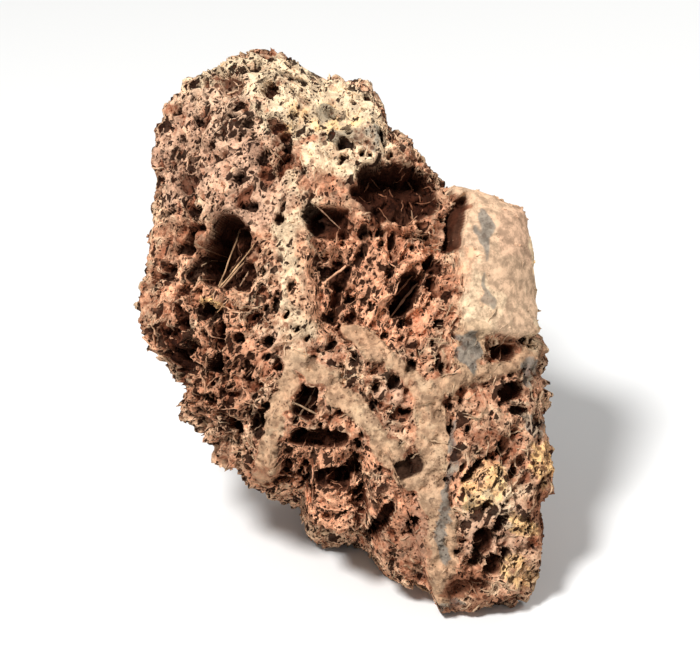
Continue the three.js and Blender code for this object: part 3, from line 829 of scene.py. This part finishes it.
def fin_paths(count, length, random):
    """Middle lines of the fins: each starts on a wall between two cells and follows the walls.

    Returns plain points, one row of FIN_RINGS to a fin.
    """
    spread = random.normal(size=(count * 12, 3))
    directions = unit(unit(spread) + np.array([0, 0, FIN_CROWDING]))
    plain = plain_stone(directions)
    thinned = fins_thinned(plain)
    along = np.linspace(-1, 1, FIN_RINGS)
    paths = []
    for net, share in zip(CELL_NETS, FIN_SHARES):
        _, standing, _, across = cell_net(plain, *net)
        wanted = (standing > 0.9) & (random.uniform(size=len(plain)) > thinned)
        chosen = np.flatnonzero(wanted)[: round(count * share)]
        start = plain[chosen]
        way = unit(np.cross(relief_direction(start), across[chosen]))
        half = length / 2 * random.uniform(0.5, 1.4, len(start))
        path = start[:, None] + (half[:, None] * along)[..., None] * way[:, None]
        straight = random.uniform(size=len(start)) < STRAIGHT_SHARE
        followed = onto_walls(path.reshape(-1, 3), net).reshape(path.shape)
        followed[:, 1:-1] = (followed[:, :-2] + 2 * followed[:, 1:-1] + followed[:, 2:]) / 4
        paths.append(np.where(straight[:, None, None], path, followed))
        plain, thinned = plain[::-1], thinned[::-1]
    return np.concatenate(paths)


def fins(count, length, random):
    """Crest lines of the fins on the finished surface, with the way out and the masks at each ring.

    Where both ends of a fin stand high, it bridges what lies between them as a straight fibre.
    """
    plain = fin_paths(count, length, random)
    shape = plain.shape[:2]
    finished, out, masks = rock_surface(direction_to(plain.reshape(-1, 3)))
    finished, out = finished.reshape(*shape, 3), out.reshape(*shape, 3)
    along = np.linspace(0, 1, FIN_RINGS)[None, :, None]
    straight = finished[:, :1] * (1 - along) + finished[:, -1:] * along
    lift = np.maximum(((straight - finished) * out).sum(axis=2), 0)
    lift = np.where(lift.max(axis=1, keepdims=True) < BRIDGE_MOST, lift, 0)
    masks = {key: mask.reshape(shape) for key, mask in masks.items()}
    return finished + out * lift[..., None], out, masks


def fibres():
    """Straight fibres across the caves, with a slight sag, from rim to rim of the finished surface."""
    ends = np.array(FIBRES, float).reshape(-1, 2)
    level = np.full(len(ends), FRONT_DEPTH * FIBRE_LEVEL)
    finished, out, masks = rock_surface(direction_to(np.column_stack([ends, level])))
    finished, out = finished.reshape(-1, 2, 1, 3), out.reshape(-1, 2, 1, 3)
    along = np.linspace(0, 1, FIN_RINGS)[None, :, None]
    lines = finished[:, 0] * (1 - along) + finished[:, 1] * along
    outs = unit(out[:, 0] * (1 - along) + out[:, 1] * along)
    lines = lines - outs * (FIBRE_SAG * np.sin(math.pi * along))
    means = {key: mask.reshape(-1, 2).mean(axis=1)[:, None] for key, mask in masks.items()}
    return lines, outs, {key: np.repeat(mean, FIN_RINGS, axis=1) for key, mean in means.items()}


def blade_mesh(lines, outs, width, high):
    """Blades along crest lines: a ring at each point with a crest, a foot and two sides between.

    Width and height swell from the tips to the middle as a power of sin(pi t), and each end is closed.
    """
    count, rings = lines.shape[:2]
    swell = np.sin(np.linspace(*BLADE_ENDS, rings) * math.pi)[None] ** BLADE_SWELL
    along = unit(np.gradient(lines, axis=1))
    side = unit(np.cross(along, outs))
    wide, tall = (width * swell)[..., None], (high * swell)[..., None]
    ring = np.stack([
        lines + outs * tall, lines + side * wide / 2, lines - outs * FIN_ROOT, lines - side * wide / 2,
    ], axis=2)
    first = (np.arange(count)[:, None, None] * rings + np.arange(rings - 1)[None, :, None]) * 4
    corner = np.arange(4)[None, None]
    after = (corner + 1) % 4
    walls = np.stack([first + corner, first + corner + 4, first + after + 4, first + after], axis=3)
    tips = (np.arange(count) * rings * 4)[:, None]
    start_caps = tips + np.array([3, 2, 1, 0])
    end_caps = tips + (rings - 1) * 4 + np.array([0, 1, 2, 3])
    faces = np.concatenate([walls.reshape(-1, 4), start_caps, end_caps])
    return ring.reshape(-1, 3), faces[:, ::-1]


def read_mesh(piece):
    """Middles of a quad mesh's faces in millimetres, the ways out of them, their areas and their masks."""
    mesh = piece.data
    corners = np.empty(len(mesh.loops), np.int32)
    mesh.loops.foreach_get("vertex_index", corners)
    corners = corners.reshape(-1, 4)
    places = np.empty(len(mesh.vertices) * 3, np.float32)
    mesh.vertices.foreach_get("co", places)
    quads = places.reshape(-1, 3)[corners].astype(float) / METRES
    across = np.cross(quads[:, 2] - quads[:, 0], quads[:, 3] - quads[:, 1])
    masks = {}
    for layer in mesh.attributes:
        if layer.data_type == "FLOAT" and layer.domain == "POINT":
            values = np.empty(len(mesh.vertices), np.float32)
            layer.data.foreach_get("value", values)
            masks[layer.name] = values[corners].mean(axis=1)
    return quads.mean(axis=1), unit(across), np.linalg.norm(across, axis=1) / 2, masks


def crumbs(piece, count, size, random):
    """Small angular grains half sunk in a piece's faces: squashed octahedra, each turned its own way.

    Faces are drawn in proportion to their area. Returns corner points, faces and the corners' masks.
    """
    middles, outs, areas, masks = read_mesh(piece)
    wanted = areas * (1 - 0.9 * masks["slab"]) * (1 - 0.6 * masks["plate"])
    kept = random.choice(len(middles), count, replace=False, p=wanted / wanted.sum())
    reach = size / 2 * random.uniform(0.5, 1.5, (count, 1, 1)) ** 1.5
    corners = np.concatenate([np.eye(3), -np.eye(3)]) * random.uniform(0.6, 1.2, (count, 6, 1))
    turns = np.linalg.qr(random.normal(size=(count, 3, 3)))[0]
    turns *= np.sign(np.linalg.det(turns))[:, None, None]
    points = middles[kept, None] + outs[kept, None] * reach * 0.15 + (corners * reach) @ turns
    ring = [0, 1, 3, 4]
    upper = [(near, far, 2) for near, far in zip(ring, ring[1:] + ring[:1])]
    lower = [(far, near, 5) for near, far, _ in upper]
    faces = np.arange(count)[:, None, None] * 6 + np.array(upper + lower)
    masks = {key: np.repeat(mask[kept], 6) for key, mask in masks.items()}
    return points.reshape(-1, 3), faces.reshape(-1, 3), masks


def put(name, data):
    """A new object with this data, linked to the scene."""
    thing = bpy.data.objects.new(name, data)
    bpy.context.scene.collection.objects.link(thing)
    return thing


def face_to(thing, target, place):
    """Puts a camera or a light at a place seen from the target, looking at the target."""
    thing.location = target + place
    thing.rotation_euler = (-place).to_track_quat("-Z", "Y").to_euler()


def mesh_piece(name, points, faces, masks, smooth=True):
    """A mesh object at the origin, with one float attribute for each mask."""
    mesh = bpy.data.meshes.new(name)
    mesh.from_pydata(points, [], faces)
    for key, values in masks.items():
        attribute = mesh.attributes.new(key, "FLOAT", "POINT")
        attribute.data.foreach_set("value", np.ascontiguousarray(values, np.float32))
    mesh.polygons.foreach_set("use_smooth", np.full(len(mesh.polygons), smooth))
    mesh.update()
    return put(name, mesh)


def add(tree, kind, **sockets):
    """Adds a shader node.

    Values and links go to its inputs by name, or by number as i0 or i1. Names with _ first are settings.
    """
    node = tree.nodes.new("ShaderNode" + kind)
    for key, value in sockets.items():
        if key.startswith("_"):
            setattr(node, key[1:], value)
    for key, value in sockets.items():
        if key.startswith("_"):
            continue
        numbered = key[0] == "i" and key[1:].isdigit()
        socket = node.inputs[int(key[1:]) if numbered else key.replace("_", " ")]
        if isinstance(value, bpy.types.NodeSocket):
            tree.links.new(value, socket)
        else:
            socket.default_value = value
    return node


def mix(tree, factor, a, b, blend="MIX"):
    """Colour a turned to colour b by a factor."""
    inputs = {"i0": factor, "i6": rgba(a), "i7": rgba(b)}
    return add(tree, "Mix", _data_type="RGBA", _blend_type=blend, **inputs).outputs[2]


def rgba(value):
    """A colour with alpha 1, or a socket as it is."""
    return value if isinstance(value, bpy.types.NodeSocket) else (*value, 1)


def maths(tree, operation, *values, kind="Math", output=0, **sockets):
    """A sum, product or other operation on numbers, or on vectors with VectorMath."""
    inputs = {f"i{n}": value for n, value in enumerate(values)}
    return add(tree, kind, _operation=operation, **inputs, **sockets).outputs[output]


def times(tree, a, b):
    """One number times another."""
    return maths(tree, "MULTIPLY", a, b)


def largest(tree, first, *others):
    """The largest of some numbers."""
    for other in others:
        first = maths(tree, "MAXIMUM", first, other)
    return first


def ramp(tree, value, low, high, to_low=0.0, to_high=1.0):
    """A value taken smoothly from one range to another, and held at its ends."""
    node = add(
        tree, "MapRange", _interpolation_type="SMOOTHSTEP", Value=value,
        From_Min=low, From_Max=high, To_Min=to_low, To_Max=to_high,
    )
    return node.outputs[0]


def attribute(tree, name):
    """One of the surface's own masks."""
    return add(tree, "Attribute", _attribute_name=name).outputs["Fac"]


def group(name, inputs, outputs):
    """A new shader node group, its group input's outputs and its group output's inputs.

    An input is a number with its default, or a vector where that is None. Outputs are numbers.
    """
    tree = bpy.data.node_groups.new(name, "ShaderNodeTree")
    for key, value in inputs.items():
        kind = "NodeSocketVector" if value is None else "NodeSocketFloat"
        socket = tree.interface.new_socket(key, in_out="INPUT", socket_type=kind)
        if value is not None:
            socket.default_value = value
    for key in outputs:
        tree.interface.new_socket(key, in_out="OUTPUT", socket_type="NodeSocketFloat")
    return tree, tree.nodes.new("NodeGroupInput").outputs, tree.nodes.new("NodeGroupOutput").inputs


def boxwork_group():
    """Cells between thin mineral walls, longer along the grain: v - (1 - 1/L)(v . g) g, then made wavy.

    A wall is 1 on a joint of the cells, and a hole is 1 inside the share of them that is open.
    """
    inputs = {"Vector": None, "Scale": 350.0, "Width": 0.08, "Open": 0.3}
    tree, given, result = group("Boxwork", inputs, ["Wall", "Hole"])
    where, width = given["Vector"], given["Width"]
    grain = tuple(unit(lean(ALONG_GRAIN)))
    along = maths(tree, "DOT_PRODUCT", where, grain, kind="VectorMath", output="Value")
    less = times(tree, along, 1 / GRAIN_LENGTH - 1)
    pushed = maths(tree, "SCALE", grain, kind="VectorMath", Scale=less)
    shrunk = maths(tree, "ADD", where, pushed, kind="VectorMath")
    scaled = maths(tree, "SCALE", shrunk, kind="VectorMath", Scale=given["Scale"])
    wave = add(tree, "TexNoise", Vector=scaled, Scale=0.9, Detail=2.0).outputs["Color"]
    centred = maths(tree, "SUBTRACT", wave, (0.5, 0.5, 0.5), kind="VectorMath")
    moved = maths(tree, "MULTIPLY_ADD", centred, (1.3, 1.3, 1.3), scaled, kind="VectorMath")
    joints = add(tree, "TexVoronoi", _feature="DISTANCE_TO_EDGE", Vector=moved, Scale=1.0)
    edge = joints.outputs["Distance"]
    tone = add(tree, "TexVoronoi", _feature="F1", Vector=moved, Scale=1.0).outputs["Color"]
    random = add(tree, "SeparateColor", Color=tone).outputs[0]
    inside = ramp(tree, edge, width, times(tree, width, 1.7))
    opened = ramp(tree, maths(tree, "SUBTRACT", given["Open"], random), -0.02, 0.04)
    tree.links.new(ramp(tree, edge, 0.0, width, 1.0, 0.0), result["Wall"])
    tree.links.new(times(tree, inside, opened), result["Hole"])


def grit_group():
    """Roughness of weathered stone: broken noise from coarse to fine, as a tone, a height and pores."""
    tree, given, result = group("Grit", {"Vector": None, "Scale": 300.0}, ["Tone", "Height", "Pores"])
    where, scale = given["Vector"], given["Scale"]
    fine = add(tree, "TexNoise", Vector=where, Scale=scale, Detail=6.0, Roughness=0.68).outputs["Fac"]
    cells = add(tree, "TexVoronoi", Vector=where, Scale=times(tree, scale, 2.6)).outputs["Distance"]
    broad = add(tree, "TexNoise", Vector=where, Scale=times(tree, scale, 0.45)).outputs["Fac"]
    pores = times(tree, ramp(tree, cells, 0.18, 0.36, 1.0, 0.0), ramp(tree, broad, 0.46, 0.58))
    tree.links.new(ramp(tree, fine, 0.3, 0.7), result["Tone"])
    tree.links.new(maths(tree, "SUBTRACT", fine, times(tree, pores, 0.35)), result["Height"])
    tree.links.new(pores, result["Pores"])


def use_group(tree, name, **sockets):
    """Places a node group."""
    return add(tree, "Group", _node_tree=bpy.data.node_groups[name], **sockets).outputs


def new_material(name):
    """A material with its Principled shader, and the object's own coordinates."""
    material = bpy.data.materials.new(name)
    material.use_nodes = True
    tree = material.node_tree
    where = add(tree, "TexCoord").outputs["Object"]
    return material, tree, where, tree.nodes["Principled BSDF"]


def stain_colour(colours, name):
    """A stain's colour, which may have another name."""
    return getattr(colours, STAIN_COLOURS.get(name, name))


def finish_material(tree, shader, base, light, height, distance, roughness):
    """Feeds a colour times a light, a bump and a roughness to the shader."""
    shade = add(tree, "CombineColor", Red=light, Green=light, Blue=light).outputs[0]
    bump = add(tree, "Bump", Strength=1.0, Distance=distance, Height=height).outputs[0]
    tree.links.new(mix(tree, 1.0, base, shade, "MULTIPLY"), shader.inputs["Base Color"])
    tree.links.new(roughness, shader.inputs["Roughness"])
    tree.links.new(bump, shader.inputs["Normal"])
    shader.inputs["Specular IOR Level"].default_value = SHINE


def stone_material(colours):
    """Porous mudstone: patches and stains, small open cells between pale walls, grit, and painted shade that
    darkens its hollows, pits, holes, pores and sunk cells.
    """
    material, tree, where, shader = new_material("weathered_stone")
    slab, plate, pit = (attribute(tree, name) for name in ("slab", "plate", "hollow"))
    broad = add(tree, "TexNoise", Vector=where, Scale=60.0, Detail=4.0, Roughness=0.6).outputs["Fac"]
    middle = add(tree, "TexNoise", Vector=where, Scale=170.0, Detail=4.0, Roughness=0.65)
    patches = add(tree, "SeparateColor", Color=middle.outputs["Color"]).outputs
    grit = use_group(tree, "Grit", Vector=where, Scale=330.0)
    coarse = use_group(tree, "Grit", Vector=where, Scale=130.0)
    openness = maths(tree, "MULTIPLY_ADD", broad, 1.2, -0.6)
    openness = maths(tree, "ADD", attribute(tree, "open"), openness)
    nets = []
    for scale, width, least, most in SMALL_CELLS:
        share = ramp(tree, openness, 0.0, 1.0, least, most)
        nets.append(use_group(tree, "Boxwork", Vector=where, Scale=scale, Width=width, Open=share))
    base = mix(tree, ramp(tree, broad, 0.35, 0.65), colours.dark_mudstone_and_shade, colours.mudstone)
    base = mix(tree, ramp(tree, patches[0], 0.50, 0.60, 0.0, 0.65), base, colours.rust)
    base = mix(tree, ramp(tree, patches[1], 0.51, 0.62, 0.0, 0.45), base, colours.mauve)
    pale = times(tree, ramp(tree, patches[2], 0.51, 0.62), ramp(tree, broad, 0.42, 0.58, 0.1, 0.6))
    base = mix(tree, pale, base, colours.cream)
    smooth = largest(tree, slab, times(tree, plate, 0.55))
    bare = maths(tree, "SUBTRACT", 1.0, smooth)
    wall = times(tree, attribute(tree, "wall"), ramp(tree, coarse["Tone"], 0.2, 0.8, 0.0, 0.8))
    lines = largest(tree, nets[0]["Wall"], times(tree, nets[1]["Wall"], 0.7))
    lines = times(tree, lines, times(tree, bare, ramp(tree, openness, 0.1, 0.9, 0.1, 0.9)))
    lines = largest(tree, lines, wall)
    base = mix(tree, lines, base, colours.fin)
    speckle = maths(tree, "MULTIPLY_ADD", maths(tree, "ADD", grit["Tone"], coarse["Tone"]), 0.5, -0.5)
    speckle = times(tree, speckle, ramp(tree, slab, 0.0, 1.0, 1.0, 0.4))
    for name, most in STAIN_STRENGTHS.items():
        broken = maths(tree, "ADD", attribute(tree, name), speckle)
        base = mix(tree, ramp(tree, broken, 0.2, 0.8, 0.0, most), base, stain_colour(colours, name))
    # Painted shade: sunk cell floors turn to dark mudstone, less where rust and ochre stain them
    uneven = maths(tree, "MULTIPLY_ADD", grit["Tone"], 0.3, -0.15)
    sunk = maths(tree, "ADD", attribute(tree, "sunk"), uneven)
    base = mix(tree, ramp(tree, sunk, 0.3, 0.8, 0.0, 0.85), base, colours.dark_mudstone_and_shade)
    # Painted shade, partly the maroon lining of the pits: hollows turn to the lining colour, and the deepest
    # turn near-black
    hollow = maths(tree, "ADD", pit, uneven)
    base = mix(tree, ramp(tree, hollow, 0.25, 0.6, 0.0, 0.93), base, colours.lining_and_shade)
    base = mix(tree, ramp(tree, pit, 0.55, 0.95, 0.0, 0.7), base, colours.shade)
    # Painted shade: small pits and pinholes turn near-black
    base = mix(tree, ramp(tree, attribute(tree, "pinhole"), 0.25, 0.8, 0.0, 0.95), base, colours.shade)
    # Painted shade: the open cells too small for the mesh turn near-black
    holes = times(tree, largest(tree, *(net["Hole"] for net in nets)), bare)
    base = mix(tree, times(tree, holes, 0.95), base, colours.shade)
    # Painted shade, partly the maroon lining: pores turn to the lining colour
    pores = largest(tree, grit["Pores"], coarse["Pores"])
    pores = times(tree, pores, ramp(tree, bare, 0.0, 1.0, 0.25, 1.0))
    base = mix(tree, times(tree, pores, 0.8), base, colours.lining_and_shade)
    light = maths(tree, "MULTIPLY_ADD", lines, 0.3, ramp(tree, grit["Tone"], 0.0, 1.0, 0.6, 1.3))
    height = maths(tree, "MULTIPLY_ADD", lines, 0.4, grit["Height"])
    height = maths(tree, "MULTIPLY_ADD", coarse["Height"], 1.1, height)
    height = maths(tree, "MULTIPLY_ADD", holes, -1.1, height)
    height = times(tree, height, ramp(tree, smooth, 0.0, 1.0, 1.0, 0.2))
    height = times(tree, height, ramp(tree, pit, 0.0, 0.6, 1.0, 0.35))
    roughness = ramp(tree, grit["Tone"], 0.0, 1.0, 0.95, 0.78)
    finish_material(tree, shader, base, light, height, 0.0012, roughness)
    return material


def fin_material(colours):
    """Pale mineral of the fins, stained by the ground that they stand on, and darkened by painted shade
    where they lie in hollows.
    """
    material, tree, where, shader = new_material("fin_mineral")
    grit = use_group(tree, "Grit", Vector=where, Scale=420.0)
    base = mix(tree, attribute(tree, "tone"), colours.band, colours.fin)
    for name, most in STAIN_STRENGTHS.items():
        base = mix(tree, times(tree, attribute(tree, name), 0.8 * most), base, stain_colour(colours, name))
    # Painted shade: fins in deep hollows turn to dark mudstone
    dark = ramp(tree, attribute(tree, "hollow"), 0.3, 1.0, 0.0, 0.72)
    base = mix(tree, dark, base, colours.dark_mudstone_and_shade)
    light = ramp(tree, grit["Tone"], 0.0, 1.0, 0.6, 1.15)
    roughness = ramp(tree, grit["Tone"], 0.0, 1.0, 0.9, 0.7)
    finish_material(tree, shader, base, light, grit["Height"], 0.0006, roughness)
    return material


def plain_material(name, colour_value):
    """A plain matt material for the floor."""
    material = bpy.data.materials.new(name)
    material.use_nodes = True
    shader = material.node_tree.nodes["Principled BSDF"]
    shader.inputs["Base Color"].default_value = (*colour_value, 1)
    shader.inputs["Roughness"].default_value = 0.9
    return material


def dress(piece, material):
    """Gives a piece its material, and has it ride on the stone."""
    piece.data.materials.append(material)
    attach(piece, "root")


SHIFT = solid_shift()


class MESH_OT_weathered_rock(bpy.types.Operator):
    """Build the stone's weathered surface"""

    bl_idname = "mesh.weathered_rock"
    bl_label = "Weathered Rock"

    def execute(self, context):
        sizes = context.scene.rock_sizes
        directions, quads = rounded_cube(sizes.grid)
        points, _, masks = rock_surface(evened(directions))
        rock = mesh_piece("weathered_rock", lean_and_stand(points) + SHIFT, quads, masks)
        dress(rock, stone_material(context.scene.rock_colours))
        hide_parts("rock")
        return {"FINISHED"}


class MESH_OT_mineral_fins(bpy.types.Operator):
    """Build the thin mineral fins and the fibres across the caves"""

    bl_idname = "mesh.mineral_fins"
    bl_label = "Mineral Fins"

    def execute(self, context):
        sizes = context.scene.rock_sizes
        random = np.random.default_rng(FIN_SEED)
        lines, outs, masks = fins(sizes.fin_count, sizes.fin_length / METRES, random)
        more_lines, more_outs, more_masks = fibres()
        lines, outs = np.concatenate([lines, more_lines]), np.concatenate([outs, more_outs])
        masks = {key: np.concatenate([masks[key], more_masks[key]]) for key in masks}
        shape = lines.shape[:2]
        width = sizes.fin_width / METRES * random.uniform(0.6, 1.35, (shape[0], 1))
        width = width * random.uniform(0.7, 1.2, shape)
        width[-len(FIBRES):] *= FIBRE_THICKNESS
        high = random.uniform(0.2, 0.9, (shape[0], 1)) * random.uniform(0.6, 1.2, shape)
        lines = lines + random.normal(scale=FIN_JITTER, size=lines.shape)
        points, faces = blade_mesh(lines, outs, width, high)
        masks["tone"] = np.repeat(random.uniform(0, 1, (shape[0], 1)), shape[1], axis=1)
        spread = {key: np.repeat(mask.reshape(-1), 4) for key, mask in masks.items()}
        piece = mesh_piece("mineral_fins", lean_and_stand(points) + SHIFT, faces, spread)
        dress(piece, fin_material(context.scene.rock_colours))
        return {"FINISHED"}


class MESH_OT_stone_crumbs(bpy.types.Operator):
    """Build the small grains that are stuck all over the stone"""

    bl_idname = "mesh.stone_crumbs"
    bl_label = "Stone Crumbs"

    def execute(self, context):
        rock = bpy.data.objects.get("weathered_rock")
        if rock is None:
            raise RuntimeError("Build the weathered rock first: the crumbs sit on its faces")
        sizes = context.scene.rock_sizes
        random = np.random.default_rng(CRUMB_SEED)
        points, faces, masks = crumbs(rock, sizes.crumb_count, sizes.crumb_size / METRES, random)
        points[:, 2] = np.maximum(points[:, 2], 0)
        piece = mesh_piece("stone_crumbs", points * METRES, faces, masks, smooth=False)
        dress(piece, bpy.data.materials["weathered_stone"])
        return {"FINISHED"}


class SCENE_OT_rock_stage(bpy.types.Operator):
    """Build the floor, the lights and the camera"""

    bl_idname = "scene.rock_stage"
    bl_label = "Rock Stage"

    def execute(self, context):
        scene, stage = context.scene, context.scene.rock_stage
        mesh = bpy.data.meshes.new("floor")
        corners = [(-1, -1), (1, -1), (1, 1), (-1, 1)]
        places = [(x * FLOOR_REACH, y * FLOOR_REACH, 0) for x, y in corners]
        mesh.from_pydata(places, [], [(0, 1, 2, 3)])
        mesh.materials.append(plain_material("pale_floor", stage.floor_colour))
        floor = put("floor", mesh)
        floor.location.z = -FLOOR_DROP
        target = Vector(lean_and_stand(np.array([FACE_MIDDLE], float))[0] + SHIFT)
        back = Vector((0, -math.cos(stage.elevation), math.sin(stage.elevation)))
        camera = put("camera", bpy.data.cameras.new("camera"))
        face_to(camera, target, back * stage.distance)
        camera.data.lens = camera.data.sensor_width * stage.distance / stage.view_width
        scene.camera = camera
        for name, place, size, power in LIGHTS:
            light = bpy.data.lights.new(name, "AREA")
            light.shape, light.size, light.energy = "DISK", size, power * stage.key_power
            face_to(put(name, light), target, Vector(place))
        world = bpy.data.worlds.new("studio")
        world.use_nodes = True
        sky = world.node_tree.nodes["Background"]
        sky.inputs["Color"].default_value = (1, 1, 1, 1)
        sky.inputs["Strength"].default_value = stage.fill
        scene.world = world
        scene.view_settings.view_transform = "Standard"
        return {"FINISHED"}


class VIEW3D_PT_maple_leaf_rock(bpy.types.Panel):
    """Sizes, colours and builders of the rock"""

    bl_idname = "VIEW3D_PT_maple_leaf_rock"
    bl_label = "Maple Leaf Rock"
    bl_space_type = "VIEW_3D"
    bl_region_type = "UI"
    bl_category = "Rock"

    def draw(self, context):
        for group_name in ("rock_sizes", "rock_colours", "rock_stage"):
            values = getattr(context.scene, group_name)
            box = self.layout.box()
            for name in type(values).__annotations__:
                box.prop(values, name)
        for operator in OPERATORS:
            self.layout.operator(operator.bl_idname)


GROUPS = {"rock_sizes": RockSizes, "rock_colours": RockColours, "rock_stage": StageSettings}
OPERATORS = [MESH_OT_weathered_rock, MESH_OT_mineral_fins, MESH_OT_stone_crumbs, SCENE_OT_rock_stage]
CLASSES = [*GROUPS.values(), *OPERATORS, VIEW3D_PT_maple_leaf_rock]


def register():
    for cls in CLASSES:
        bpy.utils.register_class(cls)
    for name, cls in GROUPS.items():
        setattr(bpy.types.Scene, name, PointerProperty(type=cls))


def unregister():
    for name in GROUPS:
        delattr(bpy.types.Scene, name)
    for cls in reversed(CLASSES):
        bpy.utils.unregister_class(cls)


def main():
    register()
    boxwork_group()
    grit_group()
    bpy.ops.mesh.weathered_rock()
    bpy.ops.mesh.mineral_fins()
    bpy.ops.mesh.stone_crumbs()
    bpy.ops.scene.rock_stage()


if __name__ == "__main__":
    main()
